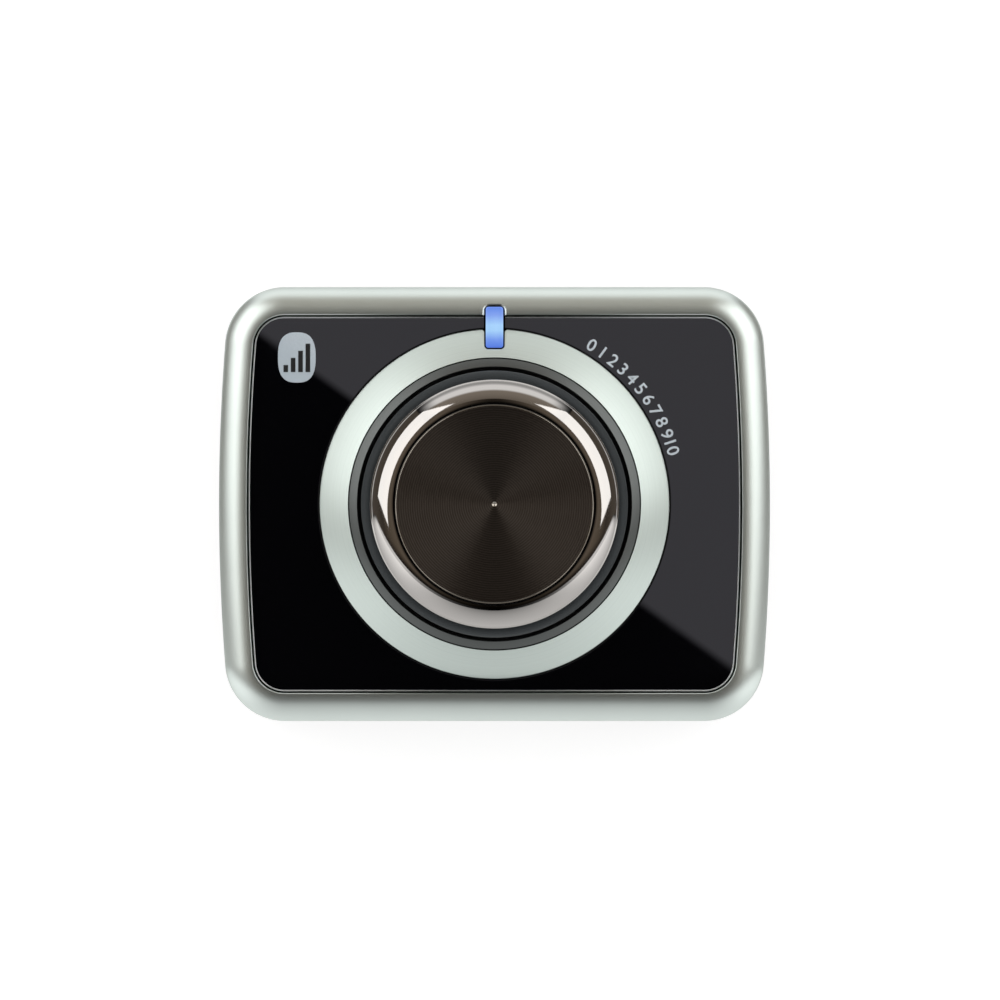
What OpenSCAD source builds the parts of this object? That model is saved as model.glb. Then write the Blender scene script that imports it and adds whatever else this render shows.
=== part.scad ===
// Volume control knob: a small case with a silver bezel, a gloss black face and a large
// push-and-turn knob on a rotary encoder, fed by a coin cell behind a twist door.
// Units are millimetres. The origin is on the table under the middle of the case,
// +Z points out of the face and +Y towards the indicator.

/* [Case] */
// Width of the case across its bowed sides
body_w = 66; // [64:0.5:76]
// Radius of the case corners
corner_r = 7.2; // [6:0.2:9]
// Radius of the outward bow of the left and right sides
side_bow_r = 250; // [160:10:600]
// Height of the joint between bezel and rear cover above the case floor
joint_h = 6.7; // [6:0.1:8]
// Thickness of the rear cover's floor
floor_t = 1.6; // [1.5:0.1:2.2]
// Thickness of the rear cover's side wall
rear_wall = 2.2; // [2:0.1:2.8]
// Step in from the bezel to the rear cover
rear_inset = 0.5; // [0.3:0.1:0.8]
// Rounding of the rear cover's lower edge
rear_edge_r = 1.2; // [0.6:0.1:1.6]
// Height of the rear cover's locating lip inside the bezel
lip_h = 1.4; // [0.8:0.1:2]

/* [Bezel] */
// Width of the bezel's band seen from the front
bezel_band = 3.45; // [3:0.05:3.8]
// Thickness of the bezel's side wall
bezel_wall = 1.6; // [1.2:0.1:1.8]
// How far the bezel's side leans in from the joint to the shoulder
bezel_lean = 0.15; // [0:0.05:0.4]
// Tilt of the bezel's arched top at its outer edge
bezel_tilt_out = 42; // [36:1:55]
// Tilt of the bezel's arched top at its inner edge
bezel_tilt_in = 6; // [2:1:10]
// Height of the crown above the face panel
crown_proud = 0.8; // [0.6:0.05:1.4]
// Rounding from the crown down to the bezel's inner edge
crown_edge_r = 0.3; // [0.2:0.05:0.5]
// Length of each snap lug that holds the bezel to the chassis
lug_l = 6; // [4:0.5:8]

/* [Face] */
// Thickness of the face panel
panel_t = 1.5; // [1.2:0.1:2]
// Thickness of the adhesive under the face panel
panel_tape_t = 0.15; // [0.1:0.05:0.3]
// Gap round the face panel
panel_gap = 0.18; // [0.1:0.02:0.3]
// Thickness of the chassis plate
chassis_t = 1.6; // [1.4:0.1:2]
// Strip of face panel above and below the trim ring
face_margin = 1.7; // [1.2:0.1:6]
// Width of the satin trim ring
ring_w = 3.39; // [3:0.01:3.8]
// Height of the trim ring's inner edge above the face panel
ring_proud = 1.71; // [1.2:0.01:2]
// Fall of the trim ring's top from its inner to its outer edge
ring_fall = 1.51; // [1:0.01:1.7]
// Width of the dark collar inside the trim ring
collar_w = 1.05; // [0.8:0.05:1.3]
// Height of the collar's inner edge above the face panel
collar_proud = 2.1; // [1.5:0.05:2.4]
// Fall of the collar's top from its inner edge to its outer rim
collar_fall = 0.45; // [0.2:0.05:0.6]
// Width of the groove between collar and trim ring
groove_w = 0.08; // [0.05:0.01:0.2]
// Width of the indicator lens
lens_w = 2.2; // [1.8:0.1:2.8]
// Height of the indicator lens above the face panel
lens_proud = 1; // [0.6:0.05:1.3]
// How far the indicator reaches into the trim ring
lens_into_ring = 2.2; // [1.6:0.1:2.4]
// How far the indicator reaches into the bezel
lens_into_bezel = 1.3; // [0.8:0.1:1.5]
// Gap round the indicator lens
lens_gap = 0.18; // [0.1:0.02:0.25]

/* [Knob] */
// Diameter of the rubber grip
knob_d = 31.8; // [28:0.1:38]
// Height of the knob's top above the face panel
knob_h = 13.8; // [13.4:0.1:16]
// Thickness of the rubber grip sleeve
grip_t = 1.5; // [1.2:0.1:1.8]
// Step in from the rubber grip to the bright crown ring
crown_step = 1.1; // [0.6:0.1:1.6]
// Width of the bright crown ring between its outer edge and the cap disc
crown_band = 2.95; // [2.6:0.05:4]
// Height of the crown ring
crown_h = 4.4; // [4:0.1:5]
// Tilt of the crown ring's arched top at its inner edge
crown_tilt_in = 7; // [4:1:12]
// Tilt of the crown ring's arched top at its outer edge
crown_tilt_out = 48; // [40:1:60]
// Gap between the cap disc and the crown ring
cap_gap = 0.25; // [0.1:0.05:0.3]
// Thickness of the turned cap disc
cap_t = 1.2; // [0.8:0.1:1.5]
// Depth of the cap disc below the crown ring's top
cap_sink = 0.8; // [0.5:0.1:1]
// Gap between the knob and the collar round it
knob_gap = 0.43; // [0.3:0.01:0.8]
// How far the knob moves in when it is pushed
push_travel = 0.5; // [0.3:0.1:0.6]

/* [Encoder] */
// Width of the encoder body
enc_w = 11.8; // [11:0.1:13]
// Length of the encoder body
enc_l = 12.4; // [12:0.1:14]
// Height of the encoder body from the board to its mounting shoulder
enc_h = 6.2; // [6:0.1:7]
// Diameter of the encoder shaft
shaft_d = 6; // [5.6:0.1:6.4]
// Length of the encoder shaft above the mounting shoulder
shaft_len = 13; // [12:0.1:13.4]
// Depth of the flat on the encoder shaft
shaft_flat = 1.5; // [1:0.1:1.7]
// Outside diameter of the threaded bush
bush_d = 7; // [6.8:0.1:7.6]
// Length of the threaded bush above the mounting shoulder
bush_len = 5; // [4.4:0.1:5.4]
// Distance across the flats of the encoder nut
nut_af = 10; // [9:0.1:11]
// Thickness of the encoder nut
nut_t = 2; // [1.6:0.1:2.4]
// Thickness of the encoder washer
washer_t = 0.4; // [0.3:0.1:0.6]
// Number of clicks in one turn of the knob
detents = 24; // [12:12:36]

/* [Electronics] */
// Thickness of the circuit board
board_t = 1.2; // [1:0.1:1.6]
// Gap between the circuit board's ends and the case wall
board_gap = 0.8; // [0.4:0.1:2]
// Diameter of the coin cell
cell_d = 20; // [19.6:0.1:20.4]
// Thickness of the coin cell
cell_t = 3.2; // [2.5:0.1:3.4]
// Room for the spring contact between coin cell and board
contact_h = 0.9; // [0.7:0.1:1.4]
// Thickness of the battery contacts
contact_t = 0.2; // [0.15:0.05:0.25]

/* [Battery door] */
// Radial overlap of the door's lugs on their ledge
bayonet_bite = 1.1; // [0.8:0.1:1.3]
// Angle that the door turns from locked to free
door_turn = 45; // [40:1:50]
// Angle that each door lug covers
door_lug_angle = 30; // [20:1:34]
// Clearance between the battery door and the case
door_gap = 0.15; // [0.1:0.01:0.2]

/* [Fixings and feet] */
// Shank diameter of the case and board screws
screw_d = 2; // [1.8:0.1:2.2]
// Head diameter of the case and board screws
screw_head_d = 3.6; // [3.2:0.1:3.8]
// Height of the screw heads
screw_head_h = 1.3; // [1:0.1:1.5]
// Diameter of the screw bosses
boss_d = 5.2; // [5:0.1:5.6]
// Depth that each screw bites
screw_bite = 4.5; // [4:0.1:5]
// Diameter of the rubber feet
foot_d = 7; // [5:0.5:8]
// Height of the rubber feet below the case
foot_proud = 0.8; // [0.5:0.1:1.5]
// Depth of the recess that holds each foot
foot_sink = 0.8; // [0.5:0.1:0.9]

/* [Hidden] */
$fn = 96;

// Clearances and steps that several pieces share
eps = 0.01;          // overreach of a cut past the face it opens
seat = 0.02;         // gap between a piece and what it bears on
slip = 0.03;         // radial clearance of a running or push fit
key_slip = 0.05;     // clearance of a sliding key
fit_gap = 0.1;       // clearance of a hole round a piece that drops into it
edge = 0.2;          // broken edge on the face pieces
past = 1;            // height that a cutting tool stands past the piece
corner_steps = 8;    // chords in each corner of the case outline
bow_steps = 8;       // chords in each bowed side
round_steps = 6;     // chords in a quarter round

// Heights from the table up
case_z = foot_proud;
floor_z = case_z + floor_t;
joint_z = case_z + joint_h;
cell_z = floor_z + door_gap;
cell_top_z = cell_z + cell_t;
board_z = cell_top_z + contact_h;
board_top_z = board_z + board_t;
shoulder_z = board_top_z + enc_h;
deck_z = shoulder_z + chassis_t;
face_z = deck_z + panel_tape_t + panel_t;
crown_z = face_z + crown_proud;
ring_z = face_z + ring_proud;
collar_z = face_z + collar_proud;
lens_z = face_z + lens_proud;
knob_top_z = face_z + knob_h;

// Face: radii of the round well, and the case length that they lead to
knob_r = knob_d / 2;
collar_in_r = knob_r + knob_gap;
collar_out_r = collar_in_r + collar_w;
ring_in_r = collar_out_r + groove_w;
ring_out_r = ring_in_r + ring_w;
well_r = ring_out_r + key_slip;
body_l = 2 * (ring_out_r + face_margin + bezel_band);

// Case outline: corner centres, and the centre and half angle of each bowed side
boss_y = body_l / 2 - corner_r;
bow_x = body_w / 2 - side_bow_r;
bow_a = asin(boss_y / (side_bow_r - corner_r));
boss_x = bow_x + (side_bow_r - corner_r) * cos(bow_a);
chassis_gap = 0.2;
chassis_in = bezel_wall + chassis_gap;
panel_in = bezel_band + panel_gap;
cavity_in = rear_inset + rear_wall;

// Indicator: a head in the face, and a thinner stem down to the lamp
lens_y0 = ring_out_r - lens_into_ring;
lens_y1 = body_l / 2 - bezel_band + lens_into_bezel;
lens_y = (lens_y0 + lens_y1) / 2;
lens_l = lens_y1 - lens_y0;
lens_corner_r = 0.5;
stem_side = 0.35;
stem_end = 1.2;
stem_w = lens_w - 2 * stem_side;
stem_l = lens_l - 2 * stem_end;
led_h = 0.8;

// Knob: the steps of its core, the fit of its sleeve and crown, and the shaft bore
push_clear = 0.5;
skirt_z = deck_z + push_travel + push_clear;
flange_t = 0.8;
crown_low_z = knob_top_z - crown_h;
step_gap = 0.3;
step_z = crown_low_z - step_gap;
grip_top_z = step_z - step_gap;
grip_in_r = knob_r - grip_t;
core_wall = 1.6;
core_r = grip_in_r - slip;
core_in_r = core_r - core_wall;
crown_wall = 1.1;
crown_r = knob_r - crown_step;
crown_in_r = crown_r - crown_wall;
cap_r = crown_r - crown_band;
cap_z = knob_top_z - cap_sink - cap_t;
cap_tape_t = 0.15;
core_top_z = cap_z - cap_tape_t;
core_plate_t = 1.7;
core_plate_z = core_top_z - core_plate_t;
hub_wall = 2.2;
hub_r = shaft_d / 2 + hub_wall;
hub_clear = 0.3;
hub_z = shoulder_z + bush_len + push_travel + hub_clear;
clip_t = 0.3;

// Encoder: body levels, the round cup inside it and the keyed end of its shaft
frame_t = 0.4;
bush_plate_t = 1.4;
cup_top_z = shoulder_z - frame_t - bush_plate_t;
cup_floor_t = 1.2;
cup_floor_z = board_top_z + cup_floor_t;
cup_wall = 0.6;
cup_r = enc_w / 2 - cup_wall;
dome_seat_t = 0.6;
dome_z = board_top_z + dome_seat_t;
dome_h = 0.7;
dome_r = 2.4;
rotor_lift = 0.3;
rotor_z = cup_floor_z + rotor_lift;
rotor_t = 1.2;
rotor_top_z = rotor_z + rotor_t;
rotor_gap = 0.2;
rotor_r = cup_r - rotor_gap;
shaft_r = shaft_d / 2;
bush_r = bush_d / 2;
stop_step = 0.7;
stop_r = shaft_r + stop_step;
stop_t = 0.8;
key_r = 2.3;
key_flat = 1.7;
notch_depth = 0.3;
notch_half = 0.35;
pin_reach = 1.3;
pin_y = enc_l / 2 + pin_reach;
pin_pitch = 2.5;
pin_places = [[-pin_pitch, -1], [0, -1], [pin_pitch, -1], [-pin_pitch, 1], [pin_pitch, 1]];
lug_x = enc_w / 2 + seat + frame_t / 2;
frame_lug_w = 2;

// Board: it fits between the bosses and the end walls, with its screws in from the corners
boss_r = boss_d / 2;
boss_gap = 0.6;
board_w = 2 * (boss_x - boss_r - boss_gap);
board_l = body_l - 2 * (cavity_in + board_gap);
board_screw_in_x = 4.3;
board_screw_in_y = 6;
board_screw_x = board_w / 2 - board_screw_in_x;
board_screw_y = board_l / 2 - board_screw_in_y;
board_post_wall = 1.2;
board_post_r = screw_d / 2 + board_post_wall;
board_corner_r = 1;
tail = 0.8;

// Radio module at the lower edge of the board
radio_w = 12;
radio_l = 9;
radio_t = 0.8;
radio_in = 2;
radio_y = -(board_l / 2 - radio_in - radio_l / 2);

// Battery bay: the door fits the floor, its lugs run in a pocket over a ledge
cell_r = cell_d / 2;
door_margin = 1.2;
door_r = cell_r + door_margin;
door_hole_r = door_r + door_gap;
door_lug_r = door_r + bayonet_bite;
pocket_r = door_lug_r + door_gap;
pocket_wall = 1.2;
bay_merge = 0.6;
notch_r = pocket_r - key_slip;
cell_x = -(body_w / 2 - cavity_in - pocket_wall + bay_merge - pocket_r);
ledge_t = 0.8;
ledge_z = case_z + ledge_t;
door_rim_h = 1;
door_angles = [90, 210, 330];

// Screws and feet
screw_r = screw_d / 2;
head_r = screw_head_d / 2;
head_sink = 0.5;
head_seat_z = case_z + head_sink + screw_head_h;
foot_from_boss = 10;
foot_from_edge = 6;
foot_x = boss_x - foot_from_boss;
foot_y = body_l / 2 - foot_from_edge;

// Points of the case outline, moved in by d
function outline(d) = concat(
    corner(1, 1, d, false), corner(-1, 1, d, true), bow(-1, d),
    corner(-1, -1, d, false), corner(1, -1, d, true), bow(1, d)
);
function corner(sx, sy, d, back) = [
    for (i = [0 : corner_steps])
        let (a = bow_a + (90 - bow_a) * (back ? corner_steps - i : i) / corner_steps)
        [sx * (boss_x + (corner_r - d) * cos(a)), sy * (boss_y + (corner_r - d) * sin(a))]
];
function bow(sx, d) = [
    for (i = [1 : bow_steps - 1])
        let (a = bow_a * (2 * i / bow_steps - 1))
        [sx * (bow_x + (side_bow_r - d) * cos(a)), sx * (side_bow_r - d) * sin(a)]
];
// Points of a rounded rectangle centred on the origin
function rounded(w, l, r) = [
    for (k = [0 : 3])
        for (i = [0 : round_steps])
            let (a = 90 * k + 90 * i / round_steps)
            let (sx = k == 0 || k == 3 ? 1 : -1, sy = k < 2 ? 1 : -1)
            [sx * (w / 2 - r) + r * cos(a), sy * (l / 2 - r) + r * sin(a)]
];
// Points of a quarter ellipse about a centre, from angle a0 to angle a1
function quarter(c, rx, ry, a0, a1) = [
    for (i = [0 : round_steps])
        let (a = a0 + (a1 - a0) * i / round_steps)
        [c[0] + rx * cos(a), c[1] + ry * sin(a)]
];
function lift(loop, z) = [for (p = loop) [p[0], p[1], z]];
function wall_faces(n, rows, closed) = [
    for (i = [0 : rows - (closed ? 1 : 2)])
        for (j = [0 : n - 1])
            let (a = i * n + j, b = ((i + 1) % rows) * n + j)
            let (c = ((i + 1) % rows) * n + (j + 1) % n, d = i * n + (j + 1) % n)
            each [[a, b, c], [a, c, d]]
];

// Solid skinned over loops that are stacked from the bottom up
module loft(loops) {
    n = len(loops[0]);
    rows = len(loops);
    bottom = [for (j = [0 : n - 1]) j];
    top = [for (j = [n - 1 : -1 : 0]) (rows - 1) * n + j];
    points = [for (loop = loops) each loop];
    polyhedron(points, concat(wall_faces(n, rows, false), [bottom, top]), convexity = 4);
}

// Closed band skinned over loops that go up its outside and down its inside
module ring_loft(loops) {
    points = [for (loop = loops) each loop];
    polyhedron(points, wall_faces(len(loops[0]), len(loops), true), convexity = 6);
}

// Plate with the case outline moved in by d, from height z0 to z1
module case_plate(d, z0, z1) {
    translate([0, 0, z0])
        linear_extrude(z1 - z0)
            polygon(outline(d));
}

// Rounded bar centred on a point, from height z0 to z1
module bar(x, y, w, l, r, z0, z1) {
    translate([x, y, z0])
        linear_extrude(z1 - z0)
            polygon(rounded(w, l, r));
}

// Box centred on a point, from height z0 to z1
module block(x, y, w, l, z0, z1) {
    translate([x - w / 2, y - l / 2, z0])
        cube([w, l, z1 - z0]);
}

// Upright cylinder from height z0 to z1
module post(x, y, r, z0, z1) {
    translate([x, y, z0])
        cylinder(r = r, h = z1 - z0);
}

// Part of a ring between two radii and two angles, from height z0 to z1
module sector(r0, r1, a0, a1, z0, z1) {
    rotate([0, 0, a0])
        rotate_extrude(angle = a1 - a0)
            translate([r0, z0])
                square([r1 - r0, z1 - z0]);
}

// Copies of the children at the four places (x, y), (-x, y), (-x, -y) and (x, -y)
module four(x, y) {
    for (sx = [-1, 1], sy = [-1, 1])
        translate([sx * x, sy * y, 0])
            children();
}

// Room for the indicator lens, cut through the face pieces
module lens_room(z0, z1) {
    bar(0, lens_y, lens_w + 2 * lens_gap, lens_l + 2 * lens_gap, lens_corner_r + lens_gap, z0, z1);
}

// Pan-head screw on the Z axis with its head seat at height z, pointing up
module screw(z, reach) {
    slot_w = 0.5;
    slot_l = 2.2;
    slot_d = 0.7;
    difference() {
        union() {
            post(0, 0, head_r, z - screw_head_h, z);
            post(0, 0, screw_r, z - eps, z + reach);
        }
        block(0, 0, slot_w, slot_l, z - screw_head_h - eps, z - screw_head_h + slot_d);
        block(0, 0, slot_l, slot_w, z - screw_head_h - eps, z - screw_head_h + slot_d);
    }
}

// Black moulded tub with its corner posts, battery bay and foot recesses
module rear_cover() {
    lip_gap = 0.15;
    lip_in = bezel_wall + lip_gap;
    lip_root = 1;
    pocket_h = 1.4;
    pocket_top = floor_z + pocket_h;
    stop_gap = 1.5;
    stop_a = 5;
    ramp_steps = 3;
    ramp = [
        for (i = [0 : ramp_steps])
            let (a = 90 * i / ramp_steps)
            [rear_inset + rear_edge_r * (1 - sin(a)), case_z + rear_edge_r * (1 - cos(a))]
    ];
    shell = concat(ramp, [[rear_inset, joint_z]]);
    color("#17181a")
        difference() {
            union() {
                difference() {
                    loft([for (p = shell) lift(outline(p[0]), p[1])]);
                    case_plate(cavity_in, floor_z, joint_z + eps);
                }
                difference() {
                    case_plate(lip_in, joint_z - lip_root, joint_z + lip_h);
                    case_plate(cavity_in, joint_z - lip_root - eps, joint_z + lip_h + eps);
                }
                four(boss_x, boss_y)
                    post(0, 0, boss_r, floor_z - eps, joint_z);
                post(cell_x, 0, pocket_r + pocket_wall, floor_z - eps, pocket_top);
            }
            four(boss_x, boss_y) {
                post(0, 0, head_r + edge, case_z - eps, head_seat_z);
                post(0, 0, screw_r + fit_gap, case_z, joint_z + eps);
            }
            four(foot_x, foot_y)
                post(0, 0, foot_d / 2 + fit_gap, case_z - eps, case_z + foot_sink);
            translate([cell_x, 0, 0])
                difference() {
                    union() {
                        post(0, 0, door_hole_r, case_z - eps, ledge_z + eps);
                        post(0, 0, pocket_r, ledge_z, pocket_top + eps);
                        for (a = door_angles)
                            rotate([0, 0, a - door_turn])
                                sector(door_hole_r - past, notch_r, -door_lug_angle / 2 - stop_gap,
                                       door_lug_angle / 2 + stop_gap, case_z - eps, ledge_z + eps);
                    }
                    for (a = door_angles) {
                        sector(door_hole_r + fit_gap, pocket_r + past, a + door_lug_angle / 2 + stop_gap,
                               a + door_lug_angle / 2 + stop_gap + stop_a, ledge_z - eps, floor_z);
                        sector(door_hole_r + fit_gap, pocket_r + past,
                               a - door_turn - door_lug_angle / 2 - stop_gap - stop_a,
                               a - door_turn - door_lug_angle / 2 - stop_gap, ledge_z - eps, floor_z);
                    }
                }
        }
}

// Black inner plate that carries the face, the encoder and the board
module front_chassis() {
    color("#202225")
        difference() {
            union() {
                case_plate(chassis_in, shoulder_z, deck_z);
                four(boss_x, boss_y)
                    post(0, 0, boss_r, joint_z, shoulder_z + eps);
                four(board_screw_x, board_screw_y)
                    post(0, 0, board_post_r, board_top_z, shoulder_z + eps);
            }
            post(0, 0, bush_r + fit_gap, shoulder_z - eps, deck_z + eps);
            bar(0, lens_y, stem_w + 2 * lens_gap, stem_l + 2 * lens_gap, lens_corner_r,
                shoulder_z - eps, deck_z + eps);
            four(boss_x, boss_y)
                post(0, 0, screw_r + seat, joint_z - eps, joint_z + screw_bite + edge);
            four(board_screw_x, board_screw_y)
                post(0, 0, screw_r + seat, board_top_z - eps, board_top_z + screw_bite + edge);
        }
}

// Satin silver frame with an arched top, steep at its side and highest inside, and four snap lugs
module bezel() {
    crown_in = bezel_band - crown_edge_r;
    arch_r = (crown_in - bezel_lean) / (sin(bezel_tilt_out) - sin(bezel_tilt_in));
    arch_x = crown_in + arch_r * sin(bezel_tilt_in);
    arch_z = crown_z - arch_r * cos(bezel_tilt_in);
    lug_t = 0.8;
    lug_bite = 0.6;
    lug_gap = 0.1;
    lug_w = chassis_in + lug_bite - bezel_wall + edge;
    lug_y = body_l / 2 - bezel_wall + edge - lug_w / 2;
    lug_z = shoulder_z - lug_gap;
    profile = concat(
        [[0, joint_z]],
        quarter([arch_x, arch_z], arch_r, arch_r, 90 + bezel_tilt_out, 90 + bezel_tilt_in),
        [for (p = quarter([crown_in, crown_z - crown_edge_r], crown_edge_r, crown_edge_r, 90, 0))
            if (p[0] > crown_in + eps) p],
        [[bezel_band, deck_z], [bezel_wall, deck_z], [bezel_wall, joint_z]]
    );
    color("#b9bcc0")
        difference() {
            union() {
                ring_loft([for (p = profile) lift(outline(p[0]), p[1])]);
                four(foot_x, lug_y)
                    block(0, 0, lug_l, lug_w, lug_z - lug_t, lug_z);
            }
            lens_room(deck_z - eps, crown_z + past);
        }
}

// Gloss black sheet with a fine bright edge, a round hole and the indicator's slot
module front_panel() {
    color("#08080a")
        difference() {
            loft([
                lift(outline(panel_in), deck_z + panel_tape_t),
                lift(outline(panel_in), face_z - edge),
                lift(outline(panel_in + edge), face_z)
            ]);
            post(0, 0, well_r, deck_z, face_z + past);
            lens_room(deck_z, face_z + past);
        }
}

// Die-cut adhesive sheet that holds the face panel on the chassis
module panel_tape() {
    tape_edge = 0.6;
    tape_well_r = well_r + tape_edge / 2;
    lens_side = 1;
    slot_w = lens_w + 2 * lens_side;
    slot_l = lens_l + 2 * lens_side;
    color("#d8d6cf")
        difference() {
            case_plate(panel_in + tape_edge, deck_z, deck_z + panel_tape_t);
            post(0, 0, tape_well_r, deck_z - past, face_z);
            bar(0, lens_y, slot_w, slot_l, lens_corner_r, deck_z - past, face_z);
        }
}

// Satin aluminium ring round the knob, sloping outwards and notched for the indicator
module trim_ring() {
    color("#c4c6c8")
        difference() {
            rotate_extrude()
                polygon([
                    [ring_in_r, deck_z], [ring_out_r, deck_z],
                    [ring_out_r, ring_z - ring_fall - edge], [ring_out_r - edge, ring_z - ring_fall],
                    [ring_in_r + edge, ring_z], [ring_in_r, ring_z - edge]
                ]);
            lens_room(deck_z - eps, ring_z + past);
        }
}

// Dark metal collar between trim ring and knob, sloping outwards like the ring
module well_collar() {
    rim = 0.15;
    color("#55585b")
        rotate_extrude()
            polygon([
                [collar_in_r, deck_z], [collar_out_r, deck_z],
                [collar_out_r, collar_z - collar_fall - rim], [collar_out_r - rim, collar_z - collar_fall],
                [collar_in_r + edge, collar_z], [collar_in_r, collar_z - edge]
            ]);
}

// Clear blue light guide: a rounded head in the face and a stem down to the lamp
module indicator_lens() {
    lamp_gap = 0.3;
    stem_z = board_top_z + led_h + lamp_gap;
    lens_round = 0.28;
    lens_steps = 3;
    head = concat([[0, deck_z]], [
        for (i = [0 : lens_steps])
            let (a = 90 * i / lens_steps)
            [lens_round * (1 - cos(a)), lens_z - lens_round * (1 - sin(a))]
    ]);
    color("#5f86f2")
        union() {
            translate([0, lens_y, 0])
                loft([
                    for (p = head)
                        lift(rounded(lens_w - 2 * p[0], lens_l - 2 * p[0], lens_corner_r - p[0]), p[1])
                ]);
            bar(0, lens_y, stem_w, stem_l, lens_corner_r - lens_gap, stem_z, deck_z + eps);
        }
}

// Black moulded knob body: skirt with a bottom flange, top plate, ribs and keyed hub
module knob_core() {
    flange_step = 0.3;
    flange_r = knob_r - flange_step;
    neck_r = crown_in_r - slip;
    bore_clear = 0.3;
    bore_top = shoulder_z + shaft_len + bore_clear;
    bore_flat = shaft_r - shaft_flat + clip_t + 2 * key_slip;
    ribs = 6;
    rib_t = 1.2;
    rib_rise = 2;
    rib_z = hub_z + rib_rise;
    rib_root = 0.5;
    color("#1b1c1e")
        difference() {
            union() {
                rotate_extrude()
                    polygon([
                        [core_in_r, skirt_z], [flange_r, skirt_z], [flange_r, skirt_z + flange_t],
                        [core_r, skirt_z + flange_t], [core_r, step_z], [neck_r, step_z],
                        [neck_r, core_top_z], [0, core_top_z], [0, core_plate_z], [core_in_r, core_plate_z]
                    ]);
                post(0, 0, hub_r, hub_z, core_plate_z + eps);
                for (i = [0 : ribs - 1])
                    rotate([0, 0, 360 * i / ribs])
                        translate([hub_r - rib_root, -rib_t / 2, rib_z])
                            cube([core_in_r - hub_r + 2 * rib_root, rib_t, core_plate_z - rib_z + eps]);
            }
            difference() {
                post(0, 0, shaft_r + slip, hub_z - eps, bore_top);
                block(0, bore_flat + shaft_r, 4 * shaft_r, 2 * shaft_r, hub_z - past, bore_top + past);
            }
        }
}

// Soft black rubber sleeve that the fingers hold
module knob_grip() {
    shoulder = 0.9;
    foot_z = skirt_z + flange_t + seat;
    color("#23282a")
        rotate_extrude()
            polygon(concat(
                [[grip_in_r, foot_z], [knob_r, foot_z]],
                quarter([knob_r - shoulder, grip_top_z - shoulder], shoulder, shoulder, 0, 90),
                [[grip_in_r, grip_top_z]]
            ));
}

// Dark chrome ring with an arched top that steepens outwards, pressed over the neck of the knob body
module knob_crown() {
    cap_hole_r = cap_r + cap_gap;
    rim = 0.13;
    low_edge = 0.15;
    arch_r = (crown_r - rim - cap_hole_r) / (sin(crown_tilt_out) - sin(crown_tilt_in));
    arch_x = cap_hole_r - arch_r * sin(crown_tilt_in);
    arch_z = knob_top_z - arch_r * cos(crown_tilt_in);
    rim_z = arch_z + arch_r * cos(crown_tilt_out) - rim;
    color("#4b4744")
        rotate_extrude()
            polygon(concat(
                [[crown_in_r, crown_low_z], [crown_r - low_edge, crown_low_z]],
                [[crown_r, crown_low_z + low_edge], [crown_r, rim_z]],
                quarter([arch_x, arch_z], arch_r, arch_r, 90 - crown_tilt_out, 90 - crown_tilt_in),
                [[cap_hole_r, core_top_z], [crown_in_r, core_top_z]]
            ));
}

// Black turned disc in the middle of the knob, hollowed as a shallow cone, with a centre dimple
module knob_cap() {
    cap_top_z = knob_top_z - cap_sink;
    bevel = 0.25;
    dish = 0.6;
    dimple_r = 0.35;
    dimple_d = 0.15;
    color("#1d1b19")
        rotate_extrude()
            polygon([
                [0, cap_z], [cap_r, cap_z], [cap_r, cap_top_z - bevel], [cap_r - bevel, cap_top_z],
                [dimple_r, cap_top_z - dish], [0, cap_top_z - dish - dimple_d]
            ]);
}

// Adhesive disc under the turned cap
module cap_tape() {
    tape_in = 1;
    color("#d8d6cf")
        post(0, 0, cap_r - tape_in, core_top_z, cap_z);
}

// Flat spring steel tongue that wedges the shaft's flat in the hub
module shaft_clip() {
    clip_w = 3.6;
    clip_end = 0.6;
    color("#a5a7a8")
        block(0, shaft_r - shaft_flat + key_slip + clip_t / 2, clip_w, clip_t,
              hub_z + clip_end, shoulder_z + shaft_len - clip_end);
}

// Steel shaft: flatted top, a stop shoulder under the bush and a keyed lower end
module encoder_shaft() {
    top_z = shoulder_z + shaft_len;
    stop_z = cup_top_z - key_slip;
    flat_y = shaft_r - shaft_flat;
    color("#c3c4c2")
        difference() {
            union() {
                post(0, 0, shaft_r, stop_z - eps, top_z);
                post(0, 0, stop_r, stop_z - stop_t, stop_z);
                intersection() {
                    post(0, 0, key_r, dome_z + dome_h + 2 * seat, stop_z - stop_t + eps);
                    block(0, 0, 4 * key_r, 2 * key_flat, dome_z, stop_z);
                }
            }
            block(0, flat_y + shaft_r, 4 * shaft_r, 2 * shaft_r, hub_z - edge, top_z + past);
        }
}

// Die-cast bush with its mounting plate and threaded neck
module encoder_bush() {
    color("#b4b2a8")
        difference() {
            union() {
                block(0, 0, enc_w, enc_l, cup_top_z, cup_top_z + bush_plate_t);
                post(0, 0, bush_r, cup_top_z + bush_plate_t - eps, shoulder_z + bush_len);
            }
            post(0, 0, shaft_r + slip, cup_top_z - eps, shoulder_z + bush_len + eps);
        }
}

// Stamped steel cover over the encoder, with two lugs soldered into the board
module encoder_frame() {
    cheek_l = 8;
    color("#bfc1c3")
        difference() {
            union() {
                block(0, 0, 2 * lug_x + frame_t, enc_l, shoulder_z - frame_t, shoulder_z);
                for (sx = [-1, 1]) {
                    block(sx * lug_x, 0, frame_t, cheek_l, board_top_z + seat, shoulder_z - eps);
                    block(sx * lug_x, 0, frame_t, frame_lug_w, board_z - tail, shoulder_z - eps);
                }
            }
            post(0, 0, bush_r + fit_gap, shoulder_z - frame_t - eps, shoulder_z + eps);
        }
}

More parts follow.
